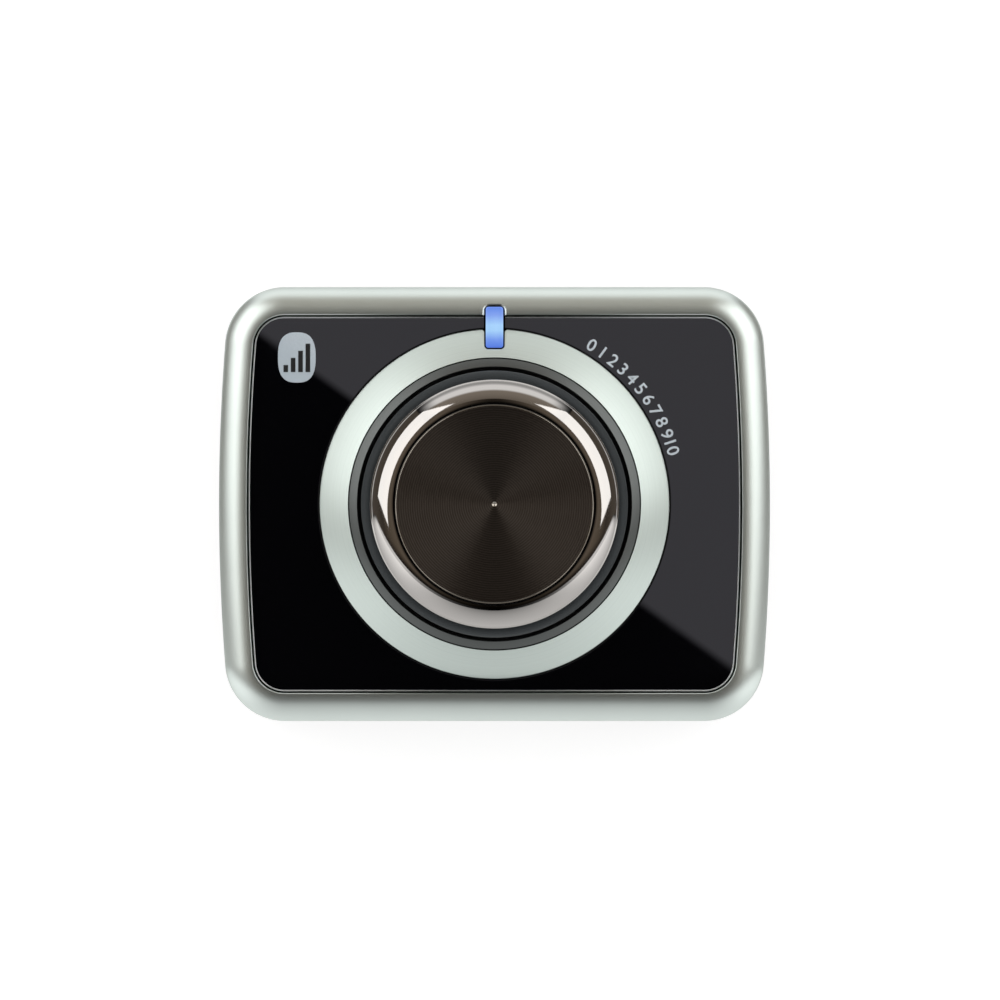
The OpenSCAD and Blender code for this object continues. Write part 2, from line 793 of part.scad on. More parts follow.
// Black moulded encoder base with a round cup and the seat of the push dome
module encoder_base() {
    color("#2a2b2d")
        difference() {
            block(0, 0, enc_w, enc_l, board_top_z, cup_top_z);
            post(0, 0, cup_r, cup_floor_z, cup_top_z + eps);
            post(0, 0, dome_r + edge, dome_z, cup_top_z);
        }
}

// Notched code wheel, turned by the shaft's key
module encoder_rotor() {
    foot_w = 0.8;
    color("#d9d4c5")
        difference() {
            union() {
                post(0, 0, rotor_r, rotor_z, rotor_top_z);
                post(0, 0, dome_r + foot_w, cup_floor_z + seat, rotor_z + eps);
            }
            intersection() {
                post(0, 0, key_r + key_slip, cup_floor_z, rotor_top_z + eps);
                block(0, 0, 4 * key_r, 2 * (key_flat + key_slip), cup_floor_z - past, rotor_top_z + past);
            }
            post(0, 0, dome_r + fit_gap, cup_floor_z, rotor_z - edge / 2);
            for (i = [0 : detents - 1])
                rotate([0, 0, 360 * i / detents])
                    translate([stop_r + edge, 0, rotor_top_z])
                        rotate([90, 0, 90])
                            linear_extrude(rotor_r)
                                polygon([[-notch_half, eps], [0, -notch_depth], [notch_half, eps]]);
        }
}

// Ring spring under the bush with two folded arms that drop into the wheel's notches
module detent_spring() {
    leaf_t = 0.2;
    arm_in_r = stop_r + notch_half;
    arm_out_r = rotor_r - fit_gap;
    arm_end = 0.3;
    arm_half = 1.5;
    arm_w = 0.35;
    tip_half = 0.13;
    tip_z = rotor_top_z - notch_depth / 3;
    leaf_z = cup_top_z - leaf_t;
    color("#cfc9b4")
        union() {
            difference() {
                post(0, 0, arm_out_r, leaf_z, cup_top_z);
                post(0, 0, arm_in_r, leaf_z - eps, cup_top_z + eps);
            }
            for (a = [90, 270])
                rotate([0, 0, a])
                    translate([arm_in_r + eps, 0, 0])
                        rotate([90, 0, 90])
                            linear_extrude(arm_out_r - arm_in_r - arm_end)
                                polygon([
                                    [-arm_half, leaf_z + eps], [-tip_half, tip_z], [tip_half, tip_z],
                                    [arm_half, leaf_z + eps], [arm_half - arm_w, leaf_z + eps],
                                    [0, tip_z + arm_w], [arm_w - arm_half, leaf_z + eps]
                                ]);
        }
}

// Snap dome under the shaft, which clicks when the knob is pushed
module push_dome() {
    dome_t = 0.15;
    ball_r = (dome_r * dome_r + dome_h * dome_h) / (2 * dome_h);
    centre_z = dome_z + seat + dome_h - ball_r;
    color("#c9c4b2")
        difference() {
            intersection() {
                translate([0, 0, centre_z])
                    sphere(r = ball_r);
                post(0, 0, dome_r + past, dome_z + seat, dome_z + 2 * dome_h);
            }
            translate([0, 0, centre_z])
                sphere(r = ball_r - dome_t);
        }
}

// Tinned pins of the encoder: three for the wheel, two for the push switch
module encoder_terminals() {
    pin_w = 0.8;
    pin_t = 0.3;
    pin_rise = 1;
    pin_z = board_top_z + pin_rise;
    color("#cfcfca")
        for (p = pin_places)
            union() {
                block(p[0], p[1] * pin_y, pin_w, pin_t, board_z - tail, pin_z + pin_t);
                block(p[0], p[1] * (enc_l / 2 + pin_y) / 2, pin_w, pin_y - enc_l / 2, pin_z, pin_z + pin_t);
            }
}

// Plain washer under the encoder nut
module encoder_washer() {
    washer_rim = 0.6;
    color("#c8c8c4")
        difference() {
            post(0, 0, nut_af / 2 + washer_rim, deck_z, deck_z + washer_t);
            post(0, 0, bush_r + fit_gap, deck_z - eps, deck_z + washer_t + eps);
        }
}

// Hexagon nut that clamps the encoder to the chassis
module encoder_nut() {
    nut_z = deck_z + washer_t;
    color("#c8c8c4")
        difference() {
            translate([0, 0, nut_z])
                cylinder(d = nut_af / cos(30), h = nut_t, $fn = 6);
            post(0, 0, bush_r + slip, nut_z - eps, nut_z + nut_t + eps);
        }
}

// Circuit board with holes for its screws and the encoder's pins and lugs
module main_board() {
    pin_hole_r = 0.6;
    color("#1f5a3c")
        difference() {
            bar(0, 0, board_w, board_l, board_corner_r, board_z, board_top_z);
            four(board_screw_x, board_screw_y)
                post(0, 0, screw_r + fit_gap, board_z - eps, board_top_z + eps);
            for (sx = [-1, 1])
                block(sx * lug_x, 0, frame_t + 2 * fit_gap, frame_lug_w + 2 * fit_gap,
                      board_z - eps, board_top_z + eps);
            for (p = pin_places)
                post(p[0], p[1] * pin_y, pin_hole_r, board_z - eps, board_top_z + eps);
        }
}

// Control chip in a flat square package
module controller_chip() {
    chip_w = 5;
    chip_t = 0.9;
    chip_gap = 3.5;
    color("#242426")
        block(lug_x + chip_gap + chip_w / 2, 0, chip_w, chip_w, board_top_z, board_top_z + chip_t);
}

// Small daughter board of the radio
module radio_board() {
    color("#1d3f6e")
        block(0, radio_y, radio_w, radio_l, board_top_z, board_top_z + radio_t);
}

// Tinned can over the radio's chips
module radio_shield() {
    can_w = 8.4;
    can_l = 7.4;
    can_h = 1.5;
    can_t = 0.2;
    can_z = board_top_z + radio_t;
    color("#c9cacb")
        difference() {
            block(0, radio_y, can_w, can_l, can_z, can_z + can_h);
            block(0, radio_y, can_w - 2 * can_t, can_l - 2 * can_t, can_z - eps, can_z + can_h - can_t);
        }
}

// Blue lamp under the light guide
module indicator_led() {
    led_w = 2;
    led_l = 1.25;
    color("#e8ecf5")
        block(0, lens_y, led_w, led_l, board_top_z, board_top_z + led_h);
}

// Leaf spring that presses on the coin cell's cap
module contact_negative() {
    leaf_w = 4;
    tip_z = cell_top_z + seat;
    curl = 0.35;
    knee_x = 4.5;
    foot_l = 3.5;
    tip_x = -0.5;
    end_x = -2;
    color("#d7c48a")
        translate([cell_x, leaf_w / 2, 0])
            rotate([90, 0, 0])
                linear_extrude(leaf_w)
                    polygon([
                        [knee_x + foot_l, board_z], [knee_x, board_z], [tip_x, tip_z + contact_t],
                        [end_x, tip_z + curl + contact_t], [end_x, tip_z + curl], [tip_x, tip_z],
                        [knee_x, board_z - contact_t], [knee_x + foot_l, board_z - contact_t]
                    ]);
}

// Upright spring that presses on the coin cell's side
module contact_positive() {
    leaf_w = 5;
    foot_l = 2.3;
    leaf_y = cell_r + seat;
    rim_clear = 0.4;
    leaf_z = floor_z + door_rim_h + rim_clear;
    color("#d7c48a")
        translate([cell_x - leaf_w / 2, 0, 0])
            rotate([90, 0, 90])
                linear_extrude(leaf_w)
                    polygon([
                        [leaf_y, leaf_z], [leaf_y + contact_t, leaf_z],
                        [leaf_y + contact_t, board_z - contact_t], [leaf_y + foot_l, board_z - contact_t],
                        [leaf_y + foot_l, board_z], [leaf_y, board_z]
                    ]);
}

// Coin cell: a wide can below and the smaller cap above
module coin_cell() {
    can_edge = 0.4;
    cap_step = 0.5;
    cap_in = 1.2;
    color("#c6c8c9")
        translate([cell_x, 0, 0])
            rotate_extrude()
                polygon([
                    [0, cell_z], [cell_r - can_edge, cell_z], [cell_r, cell_z + can_edge],
                    [cell_r, cell_top_z - cap_step], [cell_r - cap_in, cell_top_z - cap_step],
                    [cell_r - cap_in, cell_top_z], [0, cell_top_z]
                ]);
}

// Twist door with three bayonet lugs, a rim round the cell and a coin slot
module battery_door() {
    rim_t = 0.8;
    rim_r = cell_r + edge;
    slot_l = 14;
    slot_w = 1.8;
    slot_d = 0.7;
    color("#1c1d1f")
        translate([cell_x, 0, 0])
            difference() {
                union() {
                    post(0, 0, door_r, case_z, floor_z);
                    for (a = door_angles)
                        rotate([0, 0, a])
                            sector(door_r - past, door_lug_r, -door_lug_angle / 2, door_lug_angle / 2,
                                   ledge_z + door_gap, floor_z);
                    difference() {
                        post(0, 0, rim_r + rim_t, floor_z - eps, floor_z + door_rim_h);
                        post(0, 0, rim_r, floor_z, floor_z + door_rim_h + eps);
                    }
                }
                bar(0, 0, slot_w, slot_l, slot_w / 2 - eps, case_z - eps, case_z + slot_d);
            }
}

// Four screws that draw the rear cover up to the chassis
module case_screws() {
    color("#9a9c9e")
        four(boss_x, boss_y)
            screw(head_seat_z, joint_z + screw_bite - head_seat_z);
}

// Four screws that hold the board to the chassis posts
module board_screws() {
    color("#9a9c9e")
        four(board_screw_x, board_screw_y)
            screw(board_z, board_t + screw_bite);
}

// Four rubber feet, glued in their recesses
module rubber_feet() {
    foot_edge = 0.3;
    foot_r = foot_d / 2;
    color("#2b2d2f")
        four(foot_x, foot_y)
            rotate_extrude()
                polygon([
                    [0, 0], [foot_r - foot_edge, 0], [foot_r, foot_edge],
                    [foot_r, case_z + foot_sink], [0, case_z + foot_sink]
                ]);
}

rear_cover();
front_chassis();
bezel();
front_panel();
panel_tape();
trim_ring();
well_collar();
indicator_lens();
knob_core();
knob_grip();
knob_crown();
knob_cap();
cap_tape();
shaft_clip();
encoder_shaft();
encoder_bush();
encoder_frame();
encoder_base();
encoder_rotor();
detent_spring();
push_dome();
encoder_terminals();
encoder_washer();
encoder_nut();
main_board();
controller_chip();
radio_board();
radio_shield();
indicator_led();
contact_negative();
contact_positive();
coin_cell();
battery_door();
case_screws();
board_screws();
rubber_feet();
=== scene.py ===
"""Volume control knob: its looks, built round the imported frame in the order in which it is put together.

Shapes are worked out in millimetres and put into their meshes in metres.
"""

import bmesh
import bpy
import numpy as np
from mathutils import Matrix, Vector


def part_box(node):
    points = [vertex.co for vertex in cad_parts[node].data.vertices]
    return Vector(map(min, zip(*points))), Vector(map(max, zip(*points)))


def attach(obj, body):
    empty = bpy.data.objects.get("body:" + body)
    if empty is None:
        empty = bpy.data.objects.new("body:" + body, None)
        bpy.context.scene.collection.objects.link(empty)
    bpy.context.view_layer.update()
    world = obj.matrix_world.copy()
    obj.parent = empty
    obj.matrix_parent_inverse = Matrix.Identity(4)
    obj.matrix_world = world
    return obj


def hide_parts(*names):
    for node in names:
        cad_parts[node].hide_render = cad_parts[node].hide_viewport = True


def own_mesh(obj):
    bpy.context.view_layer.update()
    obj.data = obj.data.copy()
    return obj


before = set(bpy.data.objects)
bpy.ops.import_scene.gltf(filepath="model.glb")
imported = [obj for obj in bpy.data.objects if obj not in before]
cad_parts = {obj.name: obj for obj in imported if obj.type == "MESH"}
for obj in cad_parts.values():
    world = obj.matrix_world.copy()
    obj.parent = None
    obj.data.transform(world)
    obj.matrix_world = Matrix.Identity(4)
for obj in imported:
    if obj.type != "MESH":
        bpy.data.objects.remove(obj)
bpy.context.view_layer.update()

# Stage: a white sheet for the floor, a softbox at the upper left and one at the upper right, lit walls
# along the upper and lower sides, a pale card far above and a dim room. The camera looks straight down on
# the face, from so far away that the knob's height hardly shows.
MM = 0.001
face_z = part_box("front_panel")[1].z / MM


def linear(colour):
    """Linear RGBA of an sRGB hex colour: each channel's power curve, with its straight foot near black."""
    channels = np.array([int(colour[i:i + 2], 16) for i in (1, 3, 5)]) / 255
    curve = np.where(channels <= 0.04045, channels / 12.92, ((channels + 0.055) / 1.055) ** 2.4)
    return (*curve.tolist(), 1.0)


def add(tree, kind, inputs=None, **settings):
    """Adds a shader node with its settings, and sets each input, or links it to a given (node, output)."""
    made = tree.nodes.new("ShaderNode" + kind)
    for name, value in settings.items():
        setattr(made, name, value)
    for socket, value in (inputs or {}).items():
        if isinstance(value, tuple) and isinstance(value[0], bpy.types.Node):
            tree.links.new(value[0].outputs[value[1]], made.inputs[socket])
        else:
            made.inputs[socket].default_value = value
    return made


def fresh_material(name):
    """A new material, its node tree and the tree's first node, which gives the texture coordinates."""
    made = bpy.data.materials.new(name)
    made.use_nodes = True
    made.node_tree.nodes.clear()
    return made, made.node_tree, add(made.node_tree, "TexCoord")


def put(name, data):
    """Puts a new object with the given mesh, lamp, text or camera into the scene."""
    made = bpy.data.objects.new(name, data)
    bpy.context.scene.collection.objects.link(made)
    return made


def flat_sheet(name, corners, finish):
    """One four-cornered sheet of the stage, its corners in mm."""
    mesh = bpy.data.meshes.new(name)
    mesh.from_pydata((np.array(corners, float) * MM).tolist(), [], [[0, 1, 2, 3]])
    mesh.materials.append(finish)
    sheet = put(name, mesh)
    return sheet


def softbox(name, azimuth, elevation, distance, width, height, radiance):
    """Rectangular lamp turned to the middle of the face. Its power is radiance times pi times its area."""
    a, e = np.radians([azimuth, elevation])
    away = Vector((np.cos(a) * np.cos(e), np.sin(a) * np.cos(e), np.sin(e)))
    lamp = bpy.data.lights.new(name, "AREA")
    lamp.shape = "RECTANGLE"
    lamp.size, lamp.size_y = width * MM, height * MM
    lamp.energy = radiance * np.pi * lamp.size * lamp.size_y
    box = put(name, lamp)
    box.location = away * distance * MM + Vector((0, 0, face_z * MM))
    box.rotation_mode = "QUATERNION"
    box.rotation_quaternion = away.to_track_quat("Z", "Y")
    box.visible_camera = False


for hand, azimuth in (("right", 28), ("left", 152)):
    softbox(f"softbox_{hand}", azimuth, elevation=43, distance=700, width=600, height=450, radiance=2.2)


def standing_wall(name, half, y, height, finish):
    """Upright sheet of the stage at y, from -half to half, in mm. The camera doesn't see it."""
    corners = [(-half, y, 0), (half, y, 0), (half, y, height), (-half, y, height)]
    flat_sheet(name, corners, finish).visible_camera = False


# The upper wall is dim at the floor, bright above that and brownish higher up. Its sides fade out.
upper_y, upper_half, upper_fade, upper_h, upper_glow = 600, 500, 180, 1230, 1.65
upper_white, tree, place = fresh_material("upper_wall_lit")
spot = add(tree, "SeparateXYZ", {0: (place, "Object")})
rise = add(tree, "MapRange", {0: (spot, "Z"), 1: 0.0, 2: upper_h * MM})
ramp = add(tree, "ValToRGB", {0: (rise, 0)})
ramp.color_ramp.elements[0].color = linear("#a8a8a8")
ramp.color_ramp.elements[1].color = linear("#6c645b")
for at, colour in ((0.07, "#acacac"), (0.15, "#f4f4f4"), (0.29, "#f4f4f4"), (0.37, "#8a8177")):
    ramp.color_ramp.elements.new(at).color = linear(colour)
aside = add(tree, "Math", {0: (spot, "X")}, operation="ABSOLUTE")
strength = add(tree, "MapRange", {0: (aside, 0), 1: (upper_half - upper_fade) * MM,
                                  2: upper_half * MM, 3: upper_glow, 4: 0.0},
               interpolation_type="SMOOTHSTEP")
light = add(tree, "Emission", {"Color": (ramp, 0), "Strength": (strength, 0)})
add(tree, "OutputMaterial", {"Surface": (light, 0)})
standing_wall("upper_wall", upper_half, upper_y, upper_h, upper_white)

# The lower wall fades upwards in its middle. Towards its sides it glows more and has a dim upper margin,
# and its ends fade out.
lower_y, lower_half, lower_fade, lower_h, outer_x = -600, 7000, 4200, 1040, 960
margin_h, margin_blur, margin_glow = 320, 20, 0.65
middle_foot, middle_top, outer_foot, outer_top = 1.12, 0.4, 1.0, 1.9
lower_white, tree, place = fresh_material("white_wall")
spot = add(tree, "SeparateXYZ", {0: (place, "Object")})
aside = add(tree, "Math", {0: (spot, "X")}, operation="ABSOLUTE")
side = add(tree, "MapRange", {0: (aside, 0), 1: 0.0, 2: outer_x * MM},
           interpolation_type="SMOOTHSTEP")
end = add(tree, "MapRange", {0: (aside, 0), 1: (lower_half - lower_fade) * MM, 2: lower_half * MM,
                             3: 1.0, 4: 0.0}, interpolation_type="SMOOTHSTEP")
middle = add(tree, "MapRange", {0: (spot, "Z"), 1: 0.0, 2: lower_h * MM,
                                3: middle_foot, 4: middle_top})
outer = add(tree, "MapRange", {0: (spot, "Z"), 1: 0.0, 2: lower_h * MM,
                               3: outer_foot, 4: outer_top})
glow = add(tree, "Mix", {0: (side, 0), 2: (middle, 0), 3: (outer, 0)})
full = add(tree, "MapRange", {0: (spot, "Z"), 1: (lower_h - margin_blur) * MM,
                              2: (lower_h + margin_blur) * MM, 3: 1.0, 4: 0.0})
margin = add(tree, "Math", {0: (side, 0), 1: margin_glow}, operation="MULTIPLY")
part = add(tree, "Math", {0: (full, 0), 1: (margin, 0)}, operation="MAXIMUM")
glow = add(tree, "Math", {0: (glow, 0), 1: (part, 0)}, operation="MULTIPLY")
glow = add(tree, "Math", {0: (glow, 0), 1: (end, 0)}, operation="MULTIPLY")
light = add(tree, "Emission", {"Color": linear("#ffffff"), "Strength": (glow, 0)})
add(tree, "OutputMaterial", {"Surface": (light, 0)})
standing_wall("lower_wall", lower_half, lower_y, lower_h + margin_h, lower_white)

# The floor is white to the eye. In reflections it is grey at the object's left and right, and paler above
# and below it. It lets lamps shine up through it and is clear from below, so that the underside can be
# looked at too.
floor_half, grey_y, pale_y = 4000, 20, 34
eye_glow, grey_glow, pale_glow = 0.76, 0.12, 0.6
floor_white, tree, place = fresh_material("white_paper_sheet")
path = add(tree, "LightPath")
spot = add(tree, "SeparateXYZ", {0: (place, "Object")})
aside = add(tree, "Math", {0: (spot, "Y")}, operation="ABSOLUTE")
mirrored = add(tree, "MapRange", {0: (aside, 0), 1: grey_y * MM, 2: pale_y * MM,
                                  3: grey_glow, 4: pale_glow})
paper = add(tree, "BsdfDiffuse", {"Color": linear("#b4b4b4")})
white = add(tree, "Emission", {"Color": linear("#ffffff"), "Strength": eye_glow})
pale = add(tree, "Emission", {"Color": linear("#ffffff"), "Strength": (mirrored, 0)})
glow = add(tree, "MixShader", {0: (path, "Is Glossy Ray"), 1: (white, 0), 2: (pale, 0)})
lifted = add(tree, "AddShader", {0: (paper, 0), 1: (glow, 0)})
plain = add(tree, "BsdfDiffuse", {"Color": linear("#e6e6e6")})
sheet = add(tree, "MixShader", {0: (path, "Is Diffuse Ray"), 1: (lifted, 0), 2: (plain, 0)})
facing = add(tree, "NewGeometry")
gap = add(tree, "Math", {0: (facing, "Backfacing"), 1: (path, "Is Shadow Ray")},
          operation="MAXIMUM")
clear = add(tree, "BsdfTransparent")
both = add(tree, "MixShader", {0: (gap, 0), 1: (sheet, 0), 2: (clear, 0)})
add(tree, "OutputMaterial", {"Surface": (both, 0)})
flat_sheet("floor", [(-floor_half, -floor_half, 0), (floor_half, -floor_half, 0),
                     (floor_half, floor_half, 0), (-floor_half, floor_half, 0)], floor_white)
softbox("under_fill", azimuth=250, elevation=-60, distance=700, width=900, height=900, radiance=0.8)

# A pale card hangs far above, beyond the camera. The gloss face mirrors its slanting soft edge.
view_width, view_distance = 119.4, 3000
camera_x, camera_y = 0.66, 0.48
card_z, card_half, card_lap, card_blur, card_slant = face_z + 3500, 160, 16, 1.4, np.radians(54.7)
across = np.array([np.cos(card_slant), np.sin(card_slant), 0])
along = np.array([-np.sin(card_slant), np.cos(card_slant), 0])
card_glow, tree, place = fresh_material("pale_card")
fade = add(tree, "VectorMath", {0: (place, "Object"), 1: across.tolist()}, operation="DOT_PRODUCT")
fade = add(tree, "MapRange", {0: (fade, "Value"), 1: -card_blur * MM, 2: card_blur * MM},
           interpolation_type="SMOOTHSTEP")
card_light = add(tree, "Emission", {"Color": linear("#f6f4ff"), "Strength": (fade, 0)})
add(tree, "OutputMaterial", {"Surface": (card_light, 0)})
near, far, length = -card_lap * across, card_half * across, card_half * along
card_corners = np.array([near - length, near + length, far + length, far - length]) + (0, 0, card_z)
flat_sheet("glare_card", card_corners, card_glow)

# The room is white to the eye. In reflections it is dim and brown, darkest overhead, along its middle and
# towards its lower side.
dark_x, clear_x, x_share, dark_y, clear_y, y_share = 0.02, 0.2, 0.15, -0.33, -0.2, 0.1
room = bpy.data.worlds.new("dim_room")
bpy.context.scene.world = room
room.use_nodes = True
tree = room.node_tree
tree.nodes.clear()
path = add(tree, "LightPath")
place = add(tree, "TexCoord")
way = add(tree, "SeparateXYZ", {0: (place, "Generated")})
ramp = add(tree, "ValToRGB", {0: (way, "Z")})
ramp.color_ramp.elements[0].color = linear("#6a625a")
ramp.color_ramp.elements[1].color = linear("#1a1613")
for at, colour in ((0.35, "#625a51"), (0.6, "#4e463e"), (0.86, "#766a5c"), (0.94, "#7e7264"),
                   (0.97, "#463e36")):
    ramp.color_ramp.elements.new(at).color = linear(colour)
side = add(tree, "Math", {0: (way, "X")}, operation="ABSOLUTE")
side = add(tree, "MapRange", {0: (side, 0), 1: dark_x, 2: clear_x, 3: x_share, 4: 1.0})
lower = add(tree, "MapRange", {0: (way, "Y"), 1: dark_y, 2: clear_y, 3: y_share, 4: 1.0})
dim = add(tree, "Math", {0: (side, 0), 1: (lower, 0)}, operation="MULTIPLY")
shade = add(tree, "Mix", {0: (path, "Is Camera Ray"), 6: (ramp, 0), 7: linear("#ffffff")},
            data_type="RGBA")
dim = add(tree, "Math", {0: (dim, 0), 1: (path, "Is Camera Ray")}, operation="MAXIMUM")
air = add(tree, "Background", {"Color": (shade, 2), "Strength": (dim, 0)})
add(tree, "OutputWorld", {"Surface": (air, 0)})

camera = put("camera", bpy.data.cameras.new("camera"))
camera.data.sensor_width = 36
camera.data.lens = camera.data.sensor_width * view_distance / view_width
camera.data.clip_end = 20
camera.location = Vector((camera_x, camera_y, face_z + view_distance)) * MM
bpy.context.scene.camera = camera
bpy.context.scene.view_settings.view_transform = "Standard"

# Rear cover: a tub moulded in black ABS with a fine spark-eroded grain. Its floor has the battery bay's
# opening, four screw wells and four recesses for the feet; its lip fits inside the bezel.
half_w, half_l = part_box("bezel")[1].x / MM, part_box("bezel")[1].y / MM
corner_r, bow_r = 7.2, 250
boss_y = half_l - corner_r
bow_x = half_w - bow_r
bow_a = np.arcsin(boss_y / (bow_r - corner_r))
boss_x = bow_x + (bow_r - corner_r) * np.cos(bow_a)
case_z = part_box("rear_cover")[0].z / MM
joint_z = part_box("bezel")[0].z / MM
lip_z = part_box("rear_cover")[1].z / MM
floor_t, rear_wall, rear_inset, rear_edge_r, lip_in = 1.6, 2.2, 0.5, 1.2, 1.75


def outline(inset):
    """Case outline moved in by inset: half of it is a bowed side of radius bow_r - inset, a corner arc of
    radius corner_r - inset, an evenly divided end and the next corner. The other half is that one turned."""
    bow = np.linspace(-bow_a, bow_a, 61)[:-1]
    arc = np.linspace(bow_a, np.pi / 2, 33)[:-1]
    back = np.linspace(np.pi / 2, bow_a, 33)[:-1]
    run = np.linspace(1, -1, 121)[:-1]
    r = corner_r - inset
    x = [bow_x + (bow_r - inset) * np.cos(bow), boss_x + r * np.cos(arc), boss_x * run,
         -boss_x - r * np.cos(back)]
    y = [(bow_r - inset) * np.sin(bow), boss_y + r * np.sin(arc), 0 * run + boss_y + r,
         boss_y + r * np.sin(back)]
    half = np.stack([np.concatenate(x), np.concatenate(y)], 1)
    return np.concatenate([half, -half])


def bend(centre, reach, start, end, steps=12):
    """Points of an ellipse's arc: centre plus reach times the cosine and sine of evenly spaced degrees."""
    a = np.radians(np.linspace(start, end, steps + 1))
    return np.stack([centre[0] + reach[0] * np.cos(a), centre[1] + reach[1] * np.sin(a)], 1)


def stacked(loops):
    """Grid of loops: each flat outline is raised to its one height, or to the heights of its points."""
    return np.stack([np.column_stack([loop, np.broadcast_to(z, len(loop))]) for loop, z in loops])


def carry(profile):
    """Profile of (inset, height) carried round the case outline: one loop for each of its points."""
    return stacked([(outline(d), z) for d, z in np.concatenate(profile)])


def turn(profile, steps=256, centre=(0, 0)):
    """Profile of (radius, height) turned about an upright axis: one circle for each of its points."""
    r, z = np.concatenate(profile).T
    a = np.linspace(0, 2 * np.pi, steps, endpoint=False)
    x = centre[0] + np.outer(r, np.cos(a))
    y = centre[1] + np.outer(r, np.sin(a))
    return np.stack([x, y, np.broadcast_to(z[:, None], x.shape)], 2)


def skin(name, grid, wrap=False, places=((0, 0),), sharp=35):
    """Mesh object over a grid of loops, rows by columns by xyz. Quads join each point to the next in its
    loop and to the next row. Wrap joins the last row to the first, otherwise flat caps close both ends;
    loops of no radius become poles. U runs along the rows and V round each loop. Places repeat the shape."""
    rows, columns = grid.shape[:2]
    row = np.arange(rows if wrap else rows - 1)[:, None]
    column = np.arange(columns)[None, :]
    corners = [(row, column), (row, column + 1), (row + 1, column + 1), (row + 1, column)]
    quads = np.stack([(i % rows) * columns + j % columns for i, j in corners], -1).reshape(-1, 4)
    uv = np.stack([np.stack(np.broadcast_arrays(i / rows, j / columns), -1) for i, j in corners], 2)
    ends = [] if wrap else [np.arange(columns)[::-1], (rows - 1) * columns + np.arange(columns)]
    points, faces, loops = [], [], []
    for n, (x, y) in enumerate(places):
        points.append(grid.reshape(-1, 3) + (x, y, 0))
        faces += (quads + n * rows * columns).tolist() + [(e + n * rows * columns).tolist() for e in ends]
        loops += [uv.reshape(-1, 2)] + [np.zeros((columns, 2)) for _ in ends]
    mesh = bpy.data.meshes.new(name)
    mesh.from_pydata((np.concatenate(points) * MM).tolist(), [], faces)
    mesh.uv_layers.new(name="turned").data.foreach_set("uv", np.concatenate(loops).ravel())
    work = bmesh.new()
    work.from_mesh(mesh)
    bmesh.ops.remove_doubles(work, verts=work.verts, dist=1e-7)
    bmesh.ops.dissolve_degenerate(work, dist=1e-8, edges=work.edges)
    work.to_mesh(mesh)
    work.free()
    mesh.shade_smooth()
    mesh.set_sharp_from_angle(angle=np.radians(sharp))
    return put(name, mesh)


def shape(piece, operation, *tools, sharp=35):
    """Joins tools to a piece or cuts them out of it by exact Booleans, and keeps the result alone."""
    for tool in tools:
        step = piece.modifiers.new(tool.name, "BOOLEAN")
        step.operation, step.solver, step.object = operation, "EXACT", tool
    result = bpy.data.meshes.new_from_object(piece.evaluated_get(bpy.context.evaluated_depsgraph_get()))
    piece.modifiers.clear()
    piece.data = result
    result.name = piece.name
    result.set_sharp_from_angle(angle=np.radians(sharp))
    for tool in tools:
        bpy.data.objects.remove(tool)


def dress(piece, finishes, body, slot, *nodes):
    """Gives a piece its materials and its body, and hides the CAD nodes it stands for. Its slot is not used.
    """
    piece.data.materials.clear()
    for finish in finishes:
        piece.data.materials.append(finish)
    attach(piece, body)
    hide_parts(*nodes)


# Moulded ABS: near black with a soft sheen. Its grain is about 0.15 mm; it is drawn at 0.3 mm so that it
# shows, as a small bump and a slight unevenness of the sheen.
black_abs, tree, place = fresh_material("black_abs_spark_eroded")
grain = add(tree, "TexNoise", {"Vector": (place, "Object"), "Scale": 1 / (0.3 * MM), "Detail": 3.0})
sheen = add(tree, "MapRange", {0: (grain, 0), 3: 0.42, 4: 0.6})
relief = add(tree, "Bump", {"Strength": 0.25, "Distance": 0.05 * MM, "Height": (grain, 0)})
surface = add(tree, "BsdfPrincipled", {"Base Color": linear("#1b1c1e"), "Roughness": (sheen, 0),
                                       "IOR": 1.53, "Normal": (relief, 0)})
add(tree, "OutputMaterial", {"Surface": (surface, 0)})

floor_z = case_z + floor_t
cavity_in = rear_inset + rear_wall
under = bend((rear_inset + rear_edge_r, case_z + rear_edge_r), (-rear_edge_r, -rear_edge_r), 90, 0)
brim = [(rear_inset, joint_z), (lip_in, joint_z), (lip_in, lip_z), (cavity_in, lip_z), (cavity_in, floor_z)]
rear_cover = skin("rear_cover_tub", carry([under, brim]))

cell_x = (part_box("coin_cell")[0].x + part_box("coin_cell")[1].x) / 2 / MM
door_hole_r, pocket_r, pocket_wall, ledge_t, bay_h = 11.35, 12.45, 1.2, 0.8, 1.4
boss_r, head_well_r, head_seat_z, shank_hole_r = 2.6, 2.0, 2.6, 1.1
# Joined shapes are rooted in one another, cutters go past what they cut, and a hair keeps faces apart.
rooted, past, hair = 0.4, 1, 0.01
bay_r, root_z, ledge_z = pocket_r + pocket_wall, floor_z - rooted, case_z + ledge_t
bay = skin("bay", turn([[(bay_r, root_z), (bay_r, floor_z + bay_h)]], centre=(cell_x, 0)))
quarters = np.array([(1, 1), (-1, 1), (-1, -1), (1, -1)])
corners = quarters * (boss_x, boss_y)
bosses = skin("bosses", turn([[(boss_r, root_z), (boss_r, joint_z - hair)]], 64), places=corners)
shape(rear_cover, "UNION", bay, bosses)
well_profile = [[(head_well_r, case_z - past), (head_well_r, head_seat_z), (shank_hole_r, head_seat_z),
                 (shank_hole_r, joint_z + past)]]
wells = skin("wells", turn(well_profile, 64), places=corners)
opening_profile = [[(door_hole_r, case_z - past), (door_hole_r, ledge_z), (pocket_r, ledge_z),
                    (pocket_r, floor_z + bay_h + past)]]
opening = skin("opening", turn(opening_profile, centre=(cell_x, 0)))
notch_r, notch_angle, notch_lap, notch_rise = 12.4, 32, 0.3, 0.2
